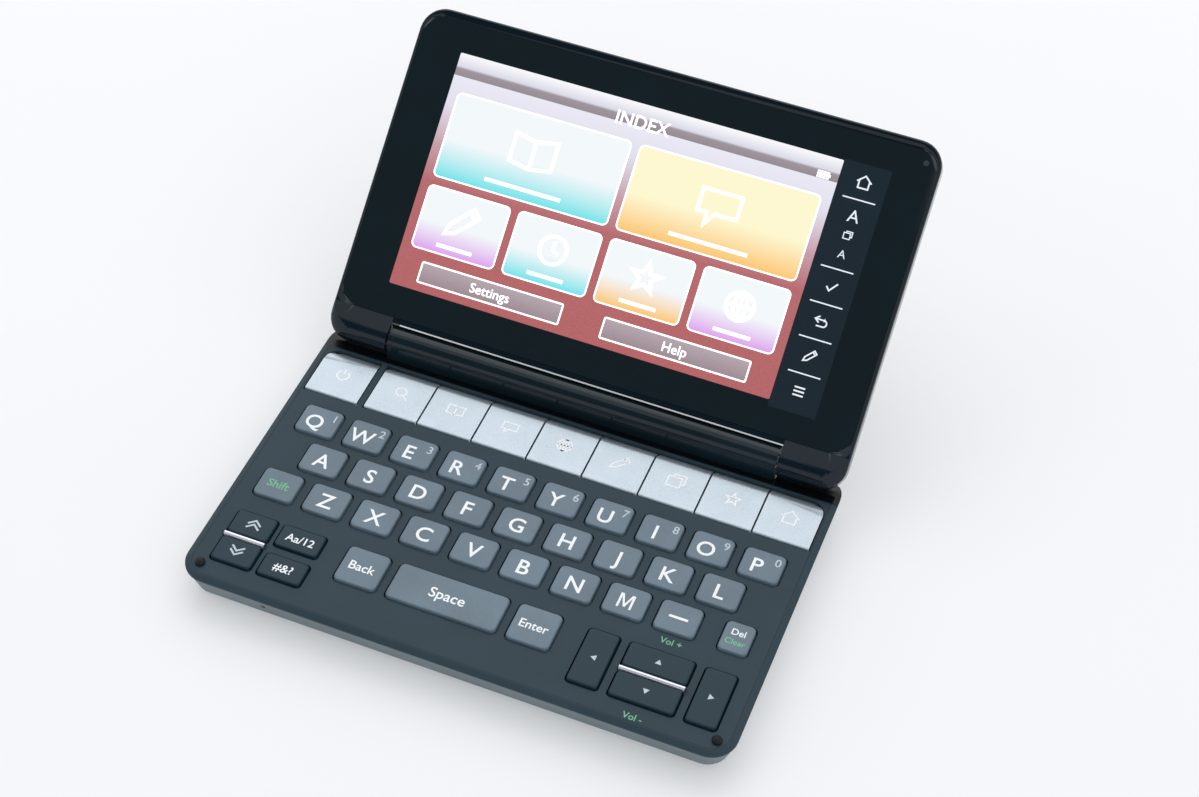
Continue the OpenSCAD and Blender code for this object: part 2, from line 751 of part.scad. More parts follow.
// Four feet under the case and two bumpers on the panel.
module feet_and_bumpers() color("#1c1e20") in_base() {
    for (p = foot_places) translate([p[0], p[1], 0]) cylinder(h = foot_h + foot_sink, r = foot_r);
    both_sides() translate([bumper_x, bumper_inset, panel_z]) intersection() {
        cylinder(h = bumper_h, r = bumper_r);
        translate([0, 0, bumper_h - bumper_r - 0.3]) sphere(bumper_r + 0.3);
    }
}

// Block between the two hinge axes.
module hinge_block() color("#15181a") in_base() difference() {
    across(-block_x, block_x) {
        for (z = [lower_axis_z, upper_axis_z]) translate([hinge_y, z]) circle(block_r);
        translate([hinge_y - block_r, lower_axis_z])
            square([2 * block_r, upper_axis_z - lower_axis_z]);
    }
    hinge_pin_places() cylinder(h = pin_in_block + cut_spare, r = pin_r);
}

// Children at the inner end of each of the four pins, with +Z towards the ear.
module hinge_pin_places() {
    for (z = [lower_axis_z, upper_axis_z]) both_sides()
        translate([block_x - pin_in_block, hinge_y, z]) rotate([0, 90, 0]) children();
}

// Four steel pins, pressed into the block and free in the ears.
module hinge_pins() color("#b8bcc0") in_base()
    hinge_pin_places()
        cylinder(h = pin_in_block + block_side_gap + pin_in_ear - pin_end_gap, r = pin_r);

// Side view of the lid's hinge ears: the round, the slope up to the glass and the rest.
module lid_ear_view() {
    d = norm([glass_foot, glass_rise]);
    a = atan2(glass_rise, glass_foot) + acos(ear_r / d);
    circle(ear_r);
    polygon([
        [0, -ear_r], [0, 0], [ear_r * cos(a), ear_r * sin(a)], [glass_foot, glass_rise],
        [far, glass_rise], [far, -ear_r]
    ]);
}

// What shapes the foot of the lid: an ear on both sides, and the block's room between them.
module lid_foot() {
    both_sides() across(ear_x, far) lid_ear_view();
    across(-ear_x, ear_x) translate([lid_notch, -ear_r]) square([far, ear_r + glass_rise]);
}

// Rear shell of the lid, with the rim, the ears and the seat of the glass.
module lid_back() color("#14191c") in_lid() {
    difference() {
        intersection() {
            loft([for (r = concat(lid_rings, lid_ear_rings))
                ring(half_w - r[1], -ear_r - ear_spare + r[1], lid_len - r[1],
                     corner_r - corner_loss * r[1], r[0], corner_steps)]);
            lid_foot();
        }
        both_sides() pin_bore();
        glass_room(glass_gap, glass_back, far);
        glass_room(-ledge_w, lid_wall - ear_r, far);
    }
    module_posts();
}

// A prism with the glass's outline, grown by g, from height z over h.
module glass_room(g, z, h) {
    translate([0, (glass_foot + glass_top) / 2, z]) linear_extrude(h)
        round_rect(2 * (glass_half + g), glass_top - glass_foot + 2 * g, glass_r + g);
}

// Front glass, which also carries the strip of touch keys.
module touch_panel() color("#10161a") in_lid() glass_room(0, glass_back, glass_t);

// Posts on the rear wall that press the display module against the glass.
module module_posts() {
    for (sx = [-1, 1], sy = [-1, 1])
        translate([screen_x + sx * (screen_w / 2 - module_post_inset),
                   screen_foot + screen_h / 2 + sy * (screen_h / 2 - module_post_inset),
                   lid_wall - ear_r - eps])
            cylinder(h = glass_back - module_t - lid_wall + ear_r + eps, r = module_post_r);
}

// Display module behind the glass.
module lcd_module() color("#8f979c") in_lid()
    translate([screen_x - screen_w / 2 - module_border, screen_foot - module_border,
               glass_back - module_t])
        cube([screen_w + 2 * module_border, screen_h + 2 * module_border, module_t]);

lower_case();
upper_case();
key_mat();
main_board();
battery_pack();
feet_and_bumpers();
hinge_block();
hinge_pins();
lid_back();
touch_panel();
lcd_module();
for (k = KEYS) key(k);
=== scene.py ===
"""Looks of a pocket electronic dictionary: keyboard base, display lid and the hinge between."""

import json
import logging
import math
from dataclasses import dataclass, field
from enum import Enum
from typing import Any, Dict, List, Optional, Sequence, Tuple, Union

import bmesh
import bpy
from mathutils import Matrix, Vector

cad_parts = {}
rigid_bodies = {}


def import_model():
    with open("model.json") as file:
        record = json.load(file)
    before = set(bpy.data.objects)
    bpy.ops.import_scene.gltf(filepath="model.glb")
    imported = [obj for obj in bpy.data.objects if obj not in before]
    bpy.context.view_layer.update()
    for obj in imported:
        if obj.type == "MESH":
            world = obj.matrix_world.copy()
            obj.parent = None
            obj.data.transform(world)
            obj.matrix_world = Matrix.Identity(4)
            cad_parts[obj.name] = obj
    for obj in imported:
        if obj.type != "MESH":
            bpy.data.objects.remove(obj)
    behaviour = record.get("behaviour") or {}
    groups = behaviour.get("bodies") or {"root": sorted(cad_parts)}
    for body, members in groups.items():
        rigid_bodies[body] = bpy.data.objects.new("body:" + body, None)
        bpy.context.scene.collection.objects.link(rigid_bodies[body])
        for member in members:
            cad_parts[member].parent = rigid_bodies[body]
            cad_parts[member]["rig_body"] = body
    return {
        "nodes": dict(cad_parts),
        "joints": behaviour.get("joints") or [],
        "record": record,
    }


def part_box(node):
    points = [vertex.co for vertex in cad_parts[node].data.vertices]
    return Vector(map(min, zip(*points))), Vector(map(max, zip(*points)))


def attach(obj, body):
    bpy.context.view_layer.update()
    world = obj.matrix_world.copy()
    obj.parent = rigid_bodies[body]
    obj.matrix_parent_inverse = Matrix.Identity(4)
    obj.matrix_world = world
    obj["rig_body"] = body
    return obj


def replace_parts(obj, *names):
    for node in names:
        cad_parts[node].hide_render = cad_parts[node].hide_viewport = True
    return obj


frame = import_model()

log = logging.getLogger("dictionary")

MM = 0.001
TO_METRES = Matrix.Scale(MM, 4)
# Thickness of print and of one layer of the lit picture, in millimetres.
PRINT = 0.02
LAYER = 0.012
# Angle in degrees from which an edge of a shell stays sharp.
SHELL_EDGE = 24.0
# Corners of a node's mesh that are closer than this, in metres, become one.
WELD = 2e-6
Point = Tuple[float, float]
Triple = Tuple[float, float, float]
Colour = Triple
Stops = Sequence[Tuple[float, Colour]]
Operand = Union["Field", float]


def linear(colour: Colour, factor: float = 1.0) -> Tuple[float, float, float, float]:
    """Turns a display colour of 0 to 255 into the linear one that a shader takes.

    Args:
        colour: Red, green and blue as seen on a display, 0 to 255.
        factor: Makes the colour brighter or darker, as seen on the display.

    Returns:
        Linear red, green, blue and an alpha of 1.
    """
    def channel(c: float) -> float:
        """Linear value of one channel."""
        c = min(1.0, c * factor / 255.0)
        return c / 12.92 if c <= 0.04045 else ((c + 0.055) / 1.055) ** 2.4
    return (channel(colour[0]), channel(colour[1]), channel(colour[2]), 1.0)


class Field:
    """A value that varies over a surface or along a list, wrapping one socket of a node."""

    def __init__(self, graph: "Graph", socket: bpy.types.NodeSocket) -> None:
        """Wraps a socket of a graph."""
        self.graph = graph
        self.socket = socket

    def _maths(self, operation: str, *values: Operand) -> "Field":
        """Adds one Math node on the values."""
        return self.graph.node("ShaderNodeMath", {"operation": operation}, dict(enumerate(values)))

    def __add__(self, other: Operand) -> "Field":
        """self + other."""
        return self._maths("ADD", self, other)

    def __radd__(self, other: Operand) -> "Field":
        """other + self."""
        return self._maths("ADD", other, self)

    def __sub__(self, other: Operand) -> "Field":
        """self - other."""
        return self._maths("SUBTRACT", self, other)

    def __rsub__(self, other: Operand) -> "Field":
        """other - self."""
        return self._maths("SUBTRACT", other, self)

    def __mul__(self, other: Operand) -> "Field":
        """self * other."""
        return self._maths("MULTIPLY", self, other)

    def __rmul__(self, other: Operand) -> "Field":
        """other * self."""
        return self._maths("MULTIPLY", other, self)

    def __truediv__(self, other: Operand) -> "Field":
        """self / other."""
        return self._maths("DIVIDE", self, other)

    def __rtruediv__(self, other: Operand) -> "Field":
        """other / self."""
        return self._maths("DIVIDE", other, self)

    def __pow__(self, other: Operand) -> "Field":
        """self ** other."""
        return self._maths("POWER", self, other)

    def __abs__(self) -> "Field":
        """Size of the value without its sign."""
        return self._maths("ABSOLUTE", self)

    def most(self, other: Operand) -> "Field":
        """The larger of both values."""
        return self._maths("MAXIMUM", self, other)

    def ramp(self, low: float, high: float) -> "Field":
        """A smooth rise from 0 where the value is low to 1 where it is high."""
        settings = {"interpolation_type": "SMOOTHSTEP"}
        return self.graph.node("ShaderNodeMapRange", settings, {0: self, 1: low, 2: high})

    def output(self, name: str) -> "Field":
        """Another output of the same node."""
        return Field(self.graph, self.socket.node.outputs[name])


class Graph:
    """Adds nodes to one tree, with settings first and then values and links."""

    def __init__(self, tree: bpy.types.NodeTree) -> None:
        """Starts on an existing tree."""
        self.tree = tree

    def node(self, kind: str, settings: Optional[Dict[str, Any]] = None,
             sockets: Optional[Dict[Union[str, int], Any]] = None,
             output: Union[str, int] = 0) -> Field:
        """Adds one node.

        Args:
            kind: Type of the node.
            settings: Properties of the node. The key "stops" fills a colour ramp.
            sockets: Value or Field for each input, by name or by number.
            output: The output that the result wraps.

        Returns:
            The chosen output.
        """
        made = self.tree.nodes.new(kind)
        for name, value in (settings or {}).items():
            if name == "stops":
                self._fill_ramp(made.color_ramp, value)
            else:
                setattr(made, name, value)
        for key, value in (sockets or {}).items():
            if isinstance(value, Field):
                self.tree.links.new(value.socket, made.inputs[key])
            else:
                made.inputs[key].default_value = value
        return Field(self, made.outputs[output] if len(made.outputs) else made.inputs[0])

    @staticmethod
    def _fill_ramp(ramp: bpy.types.ColorRamp, stops: Stops) -> None:
        """Sets the stops of a colour ramp, lowest first."""
        while len(ramp.elements) < len(stops):
            ramp.elements.new(1.0)
        for element, (place, colour) in zip(ramp.elements, stops):
            element.position = place
            element.color = linear(colour)

    def noise(self, vector: Field, grain: float, detail: float = 2.0) -> Field:
        """Noise whose blotches are about grain millimetres across, from 0 to 1."""
        sockets = {"Vector": vector, "Scale": 1.0 / (grain * MM), "Detail": detail}
        return self.node("ShaderNodeTexNoise", {}, sockets)

    def mix(self, mask: Operand, first: Any, second: Any) -> Field:
        """A colour that goes from first to second with the mask."""
        # The colours of a Mix node are its inputs 6 and 7 and its output 2.
        return self.node("ShaderNodeMix", {"data_type": "RGBA"}, {0: mask, 6: first, 7: second}, 2)


class Paint:
    """One material on a Principled shader, with what varies and what stays constant."""

    def __init__(self, name: str) -> None:
        """Makes an empty material of that name."""
        self.material = bpy.data.materials.new(name)
        self.material.use_nodes = True
        self.graph = Graph(self.material.node_tree)
        self.shader = self.material.node_tree.nodes["Principled BSDF"]
        self.place = self.graph.node("ShaderNodeTexCoord", {}, {}, "Object")

    def constant(self, **values: Any) -> "Paint":
        """Sets sockets that are the same all over; spaces in their names are underscores."""
        for name, value in values.items():
            self.shader.inputs[name.replace("_", " ")].default_value = value
        return self

    def vary(self, name: str, value: Field) -> "Paint":
        """Links a socket to a value that changes over the surface."""
        self.graph.tree.links.new(value.socket, self.shader.inputs[name])
        return self

    def bump(self, height: Field, depth: float, strength: float = 1.0) -> "Paint":
        """Lets a height from 0 to 1, depth millimetres deep, tilt the surface."""
        sockets = {"Height": height, "Distance": depth * MM, "Strength": strength}
        return self.vary("Normal", self.graph.node("ShaderNodeBump", {}, sockets, "Normal"))

    def tint(self, mask: Field, colour: Colour, low: float, high: float) -> Field:
        """Varies the base colour between two shades of one colour.

        Args:
            mask: 0 where the low shade shows and 1 where the high one does.
            colour: The display colour.
            low: Factor of the low shade.
            high: Factor of the high shade.

        Returns:
            The varying colour.
        """
        tone = self.graph.mix(mask, linear(colour, low), linear(colour, high))
        self.vary("Base Color", tone)
        return tone


@dataclass(frozen=True)
class MouldedPlastic:
    """Moulded plastic with a spark-eroded grain, slightly mottled.

    Grain and depth are in millimetres; mottle is the share by which the colour varies.
    """

    name: str
    colour: Colour
    roughness: float = 0.5
    grain: float = 0.3
    depth: float = 0.012
    mottle: float = 0.07
    shine: float = 0.5

    def paint(self) -> Paint:
        """Builds the shader and returns it for further work."""
        made = Paint(self.name)
        cloud = made.graph.noise(made.place, 16.0, 3.0)
        grain = made.graph.noise(made.place, self.grain, 2.0)
        mask = (cloud * 0.6 + grain * 0.4).ramp(0.3, 0.7)
        made.tint(mask, self.colour, 1 - self.mottle, 1 + self.mottle)
        made.vary("Roughness", self.roughness + (cloud - 0.5) * 0.1 + (grain - 0.5) * 0.12)
        made.bump(grain, self.depth, 0.6)
        return made.constant(Specular_IOR_Level=self.shine)

    def material(self) -> bpy.types.Material:
        """The finished material."""
        return self.paint().material


@dataclass(frozen=True)
class EdgedPanel:
    """The keyboard panel's plastic, with a fine dark line of painted shade inside its bevel, and a rear
    lip that shines more and is darkened with painted shade.

    Half width, front, rear and lip, from where the panel shines more and has painted shade, are in
    metres; the rest is in millimetres.
    """

    plastic: MouldedPlastic
    half_width: float
    front: float
    rear: float
    lip: float
    corner: float = 7.0
    inset: float = 1.75
    line: float = 0.2
    # Colour of the fine line: painted shade, as in a narrow channel of the bevel.
    groove_shade: Colour = (24, 29, 33)
    # Colour of the rear lip: painted shade, the shadow and dark reflection of the black lid above; only
    # its gloss is the panel's own.
    gloss: Colour = (7, 12, 15)

    def material(self) -> bpy.types.Material:
        """The finished material."""
        made = self.plastic.paint()
        graph = made.graph
        split = graph.node("ShaderNodeSeparateXYZ", {}, {0: made.place}, "X")
        middle = (self.front + self.rear) / 2
        reach = self.corner * MM
        across = (abs(split) - (self.half_width - reach)).most(0.0)
        along = (abs(split.output("Y") - middle) - ((self.rear - self.front) / 2 - reach)).most(0.0)
        inside = (self.corner - ((across * across + along * along) ** 0.5) / MM)
        # The fine line inside the bevel is darkened with painted shade.
        line = 1 - (abs(inside - self.inset) / self.line).ramp(0.4, 1.0)
        # Behind the lip the panel is less rough, and its colour is darkened with painted shade of the
        # lid above.
        gloss_and_painted_shade = ((split.output("Y") - self.lip) / MM).ramp(0.0, 0.5)
        slate, rough = (Field(graph, made.shader.inputs[name].links[0].from_socket)
                        for name in ("Base Color", "Roughness"))
        lined = graph.mix(line * 0.75, slate, linear(self.groove_shade))
        made.vary("Base Color", graph.mix(gloss_and_painted_shade, lined, linear(self.gloss)))
        made.vary("Roughness", rough - gloss_and_painted_shade * 0.3)
        return made.material


@dataclass(frozen=True)
class SilverPaint:
    """Satin silver paint with a fine flake over plastic."""

    name: str
    colour: Colour
    roughness: float = 0.3
    metal: float = 0.55

    def material(self) -> bpy.types.Material:
        """The finished material."""
        made = Paint(self.name)
        flake = made.graph.noise(made.place, 0.12, 1.0)
        cloud = made.graph.noise(made.place, 9.0, 3.0)
        mask = (flake * 0.7 + cloud * 0.3).ramp(0.3, 0.7)
        made.tint(mask, self.colour, 0.93, 1.04)
        made.vary("Roughness", self.roughness + (flake - 0.5) * 0.16 + (cloud - 0.5) * 0.06)
        made.vary("Metallic", self.metal + (flake - 0.5) * 0.3)
        made.bump(flake, 0.004, 0.4)
        return made.constant(Coat_Weight=0.15, Coat_Roughness=0.15).material


@dataclass(frozen=True)
class PianoBlack:
    """Polished black plastic, with the faint smears that fingers leave."""

    name: str
    colour: Colour
    roughness: float = 0.07
    smear: float = 0.1
    shine: float = 0.5
    coat: float = 0.5

    def material(self) -> bpy.types.Material:
        """The finished material."""
        made = Paint(self.name)
        cloud = made.graph.noise(made.place, 22.0, 4.0)
        dust = made.graph.noise(made.place, 0.5, 2.0)
        smear = cloud.ramp(0.45, 0.75)
        speck = dust.ramp(0.68, 0.76)
        made.tint(speck * 0.25 + smear * 0.1, self.colour, 1.0, 2.0)
        made.vary("Roughness", self.roughness + smear * self.smear + speck * 0.1)
        made.bump(cloud, 0.02, 0.25)
        made.constant(Specular_IOR_Level=self.shine, Coat_Roughness=0.04)
        return made.constant(Coat_Weight=self.coat).material


@dataclass(frozen=True)
class BrushedMetal:
    """Turned or rolled metal with fine lines along one direction."""

    name: str
    colour: Colour
    roughness: float = 0.32
    stretch: Triple = (1.0, 30.0, 30.0)

    def material(self) -> bpy.types.Material:
        """The finished material."""
        made = Paint(self.name)
        sockets = {"Vector": made.place, "Scale": self.stretch}
        lines = made.graph.noise(made.graph.node("ShaderNodeMapping", {}, sockets), 4.0, 3.0)
        made.tint(lines, self.colour, 0.85, 1.0)
        made.vary("Roughness", self.roughness + (lines - 0.5) * 0.25)
        made.bump(lines, 0.006, 0.4)
        return made.constant(Metallic=1.0).material


@dataclass(frozen=True)
class PrintedInk:
    """Screen-printed lettering, thin and slightly uneven."""

    name: str
    colour: Colour
    fade: float = 0.12
    glow: float = 0.0

    def material(self) -> bpy.types.Material:
        """The finished material."""
        made = Paint(self.name)
        speck = made.graph.noise(made.place, 0.25, 2.0)
        tone = made.tint(speck.ramp(0.35, 0.6), self.colour, 1 - self.fade, 1.0)
        made.vary("Roughness", 0.45 + speck * 0.2)
        if self.glow:
            made.vary("Emission Color", tone).constant(Emission_Strength=self.glow)
        return made.material


@dataclass(frozen=True)
class BoardMask:
    """Green solder mask with the faint relief of the tracks beneath."""

    name: str
    colour: Colour

    def material(self) -> bpy.types.Material:
        """The finished material."""
        made = Paint(self.name)
        settings = {"feature": "DISTANCE_TO_EDGE"}
        cells = made.graph.node("ShaderNodeTexVoronoi", settings,
                                {"Vector": made.place, "Scale": 420.0}, "Distance")
        track = 1 - cells.ramp(0.03, 0.09)
        made.tint(track, self.colour, 1.0, 1.5)
        made.vary("Roughness", 0.3 + track * 0.1)
        return made.bump(track, 0.03).material


@dataclass(frozen=True)
class LidHeights:
    """Turns a place on the lid into its height up the lid, in millimetres.

    The axis is the upper hinge axis in metres and tilt the lid's slope in radians.
    """

    axis: Triple
    tilt: float

    def matrix(self) -> Matrix:
        """Takes lid millimetres (across, up the lid, out of the glass) to the row frame."""
        return Matrix.Translation(self.axis) @ Matrix.Rotation(self.tilt, 4, "X") @ TO_METRES

    def up(self, paint: Paint) -> Field:
        """Height up the lid, as a field of a material."""
        split = paint.graph.node("ShaderNodeSeparateXYZ", {}, {0: paint.place}, "Y")
        rise = (split.output("Z") - self.axis[2]) * math.sin(self.tilt)
        return ((split - self.axis[1]) * math.cos(self.tilt) + rise) / MM


@dataclass(frozen=True)
class LitPicture:
    """A lit part of the display: colours that run up the lid under the glass.

    Stops are pairs of a height in millimetres and a display colour, lowest first.
    """

    name: str
    lid: LidHeights
    stops: Tuple[Tuple[float, Colour], ...]
    glow: float = 1.0
    unlit: Colour = (8, 9, 11)

    def material(self) -> bpy.types.Material:
        """The finished material."""
        made = Paint(self.name)
        low, high = self.stops[0][0], self.stops[-1][0]
        share = (self.lid.up(made) - low) / (high - low)
        stops = [((v - low) / (high - low), c) for v, c in self.stops]
        tone = made.graph.node("ShaderNodeValToRGB", {"stops": stops}, {0: share}, "Color")
        grid = made.graph.noise(made.place, 0.2, 0.0)
        shown = made.graph.mix(grid * 0.12, tone, linear((255, 255, 255)))
        made.vary("Emission Color", shown).constant(Emission_Strength=self.glow)
        made.vary("Roughness", 0.06 + grid * 0.05)
        return made.constant(Base_Color=linear(self.unlit), Coat_Weight=0.6).material


def arc(centre: Point, radius: float, start: float, end: float, steps: int) -> List[Point]:
    """Points on an arc of that many chords; both angles are in degrees."""
    turns = [math.radians(start + (end - start) * i / steps) for i in range(steps + 1)]
    return [(centre[0] + radius * math.cos(t), centre[1] + radius * math.sin(t)) for t in turns]


def circle(radius: float, middle: Point = (0.0, 0.0)) -> List[Point]:
    """Points all round a circle, 15 degrees apart."""
    return arc(middle, radius, 0, 345, 23)


def rounded(width: float, height: float, radius: float, middle: Point = (0.0, 0.0),
            steps: int = 6) -> List[Point]:
    """Outline of a rounded rectangle.

    Args:
        width: Its size across.
        height: Its size upwards.
        radius: Radius of its corners.
        middle: Its middle.
        steps: Number of chords at each corner.

    Returns:
        The points, anticlockwise.
    """
    x, y = width / 2 - radius, height / 2 - radius
    corners = [(x, y, 0), (-x, y, 90), (-x, -y, 180), (x, -y, 270)]
    return [p for cx, cy, a in corners
            for p in arc((middle[0] + cx, middle[1] + cy), radius, a, a + 90, steps)]


class Stamp:
    """Collects thin closed slabs, drawn in millimetres, into one flat mesh."""

    def __init__(self, thickness: float) -> None:
        """Starts empty, with the thickness of every slab in millimetres."""
        self.mesh = bmesh.new()
        self.thickness = thickness

    def patch(self, outline: Sequence[Point]) -> "Stamp":
        """Adds a filled outline."""
        top = [self.mesh.verts.new((x, y, self.thickness)) for x, y in outline]
        foot = [self.mesh.verts.new((x, y, 0.0)) for x, y in outline]
        self.mesh.faces.new(top)
        self.mesh.faces.new(foot[::-1])
        for i in range(len(outline)):
            j = (i + 1) % len(outline)
            self.mesh.faces.new((foot[i], foot[j], top[j], top[i]))
        return self

    def stroke(self, line: Sequence[Point], width: float, closed: bool = False) -> "Stamp":
        """Adds a ribbon along a line, with mitred corners.

        Args:
            line: Points of the middle line.
            width: Width of the ribbon.
            closed: Whether the last point joins the first.

        Returns:
            The stamp itself.
        """
        points = [Vector(p) for p in line]
        count = len(points)
        sides = []
        for i, here in enumerate(points):
            before = points[i - 1] if closed or i else None
            after = points[(i + 1) % count] if closed or i < count - 1 else None
            steps = [(b - a).normalized() for a, b in ((before, here), (here, after)) if a and b]
            normals = [Vector((-s.y, s.x)) for s in steps]
            bend = (normals[0] + normals[-1]).normalized()
            reach = width / 2 / max(0.35, bend.dot(normals[0]))
            sides.append((here + bend * reach, here - bend * reach))
        if closed:
            self._ring([s[0] for s in sides], [s[1] for s in sides])
            return self
        return self.patch([tuple(s[1]) for s in sides] + [tuple(s[0]) for s in sides[::-1]])

    def _ring(self, first: Sequence[Vector], second: Sequence[Vector]) -> None:
        """Adds a closed band between two outlines of equally many points."""
        rows = [[self.mesh.verts.new((p.x, p.y, z)) for p in side]
                for side, z in ((first, 0.0), (first, self.thickness),
                                (second, self.thickness), (second, 0.0))]
        for i in range(len(first)):
            j = (i + 1) % len(first)
            for k in range(4):
                low, high = rows[k], rows[(k + 1) % 4]
                self.mesh.faces.new((low[i], low[j], high[j], high[i]))

    def text(self, words: str, height: float, middle: Point, weight: float = 0.0) -> "Stamp":
        """Adds words whose capitals are that high, centred on a point.

        Args:
            words: The letters or digits.
            height: Height of a capital letter in millimetres.
            middle: Where the middle of the words goes.
            weight: How much the strokes grow, as a share of the letter's size.

        Returns:
            The stamp itself.
        """
        scale = height / _letters("H", weight)[1]
        copy = bmesh.new()
        copy.from_mesh(_letters(words, weight)[0])
        xs = [v.co.x for v in copy.verts]
        across = (min(xs) + max(xs)) / 2
        for v in copy.verts:
            v.co = Vector(((v.co.x - across) * scale + middle[0],
                           v.co.y * scale - height / 2 + middle[1],
                           self.thickness if v.co.z > 0 else 0.0))
        placed = bpy.data.meshes.new("word")
        copy.to_mesh(placed)
        copy.free()
        self.mesh.from_mesh(placed)
        bpy.data.meshes.remove(placed)
        return self

    def sign(self, sign: "Sign", size: float, middle: Point, width: float = 0.35) -> "Stamp":
        """Adds one pictogram.

        Args:
            sign: Which pictogram.
            size: Its height in millimetres.
            middle: Where its middle goes.
            width: Width of its lines in millimetres.

        Returns:
            The stamp itself.
        """
        def put(points: Sequence[Point]) -> List[Point]:
            """Takes unit points to their place."""
            return [(x * size / 2 + middle[0], y * size / 2 + middle[1]) for x, y in points]
        lines, loops, fills = sign.value
        for line in lines:
            self.stroke(put(line), width)
        for loop in loops:
            self.stroke(put(loop), width, True)
        for fill in fills:
            self.patch(put(fill))
        return self

    def piece(self, name: str, matrix: Matrix, material: bpy.types.Material,
              body: str, slot: str) -> bpy.types.Object:
        """Turns what was collected into a piece on a body.

        Args:
            name: Name of the piece.
            matrix: Takes the stamp's millimetres to the row frame.
            material: Its finish.
            body: The body it rides on.
            slot: The record's material slot.

        Returns:
            The new object.
        """
        bmesh.ops.recalc_face_normals(self.mesh, faces=self.mesh.faces)
        data = bpy.data.meshes.new(name)
        self.mesh.to_mesh(data)
        self.mesh.free()
        data.transform(matrix)
        return place(name, data, material, body, slot)


def add_object(name: str, data: Any) -> bpy.types.Object:
    """Makes an object and adds it to the scene."""
    made = bpy.data.objects.new(name, data)
    bpy.context.scene.collection.objects.link(made)
    return made


def place(name: str, data: bpy.types.Mesh, material: bpy.types.Material, body: str,
          slot: str) -> bpy.types.Object:
    """Makes an object at the origin from a mesh in the row frame, and lets it ride.

    Args:
        name: Name of the piece.
        data: Its mesh, in metres in the row frame.
        material: Its finish.
        body: The body it rides on.
        slot: The record's material slot; not used.

    Returns:
        The new object.
    """
    data.materials.clear()
    data.materials.append(material)
    made = add_object(name, data)
    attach(made, body)
    log.info("%s on %s: %d faces", name, body, len(data.polygons))
    return made


def plain_mesh(holder: bpy.types.Object) -> bpy.types.Mesh:
    """Turns an object into a plain mesh of its finished shape.

    Args:
        holder: An object of the scene. It is gone afterwards.

    Returns:
        The mesh, with all modifiers applied.
    """
    graph = bpy.context.evaluated_depsgraph_get()
    data = bpy.data.meshes.new_from_object(holder.evaluated_get(graph))
    bpy.data.objects.remove(holder)
    return data


_WORDS: Dict[Tuple[str, float], Tuple[bpy.types.Mesh, float]] = {}


def _letters(words: str, weight: float) -> Tuple[bpy.types.Mesh, float]:
    """Makes words once for each weight and keeps them.

    Args:
        words: The letters or digits.
        weight: How much the strokes grow, as a share of the letter's size.

    Returns:
        A closed mesh of the words at unit size, and how high it is.
    """
    if (words, weight) not in _WORDS:
        curve = bpy.data.curves.new("words", "FONT")
        curve.body = words
        curve.extrude = 0.01
        curve.offset = weight
        curve.resolution_u = 4
        data = plain_mesh(add_object("words", curve))
        solid = bmesh.new()
        solid.from_mesh(data)
        bmesh.ops.remove_doubles(solid, verts=solid.verts, dist=1e-5)
        solid.to_mesh(data)
        solid.free()
        ys = [v.co.y for v in data.vertices]
        _WORDS[(words, weight)] = (data, max(ys) - min(ys))
    return _WORDS[(words, weight)]


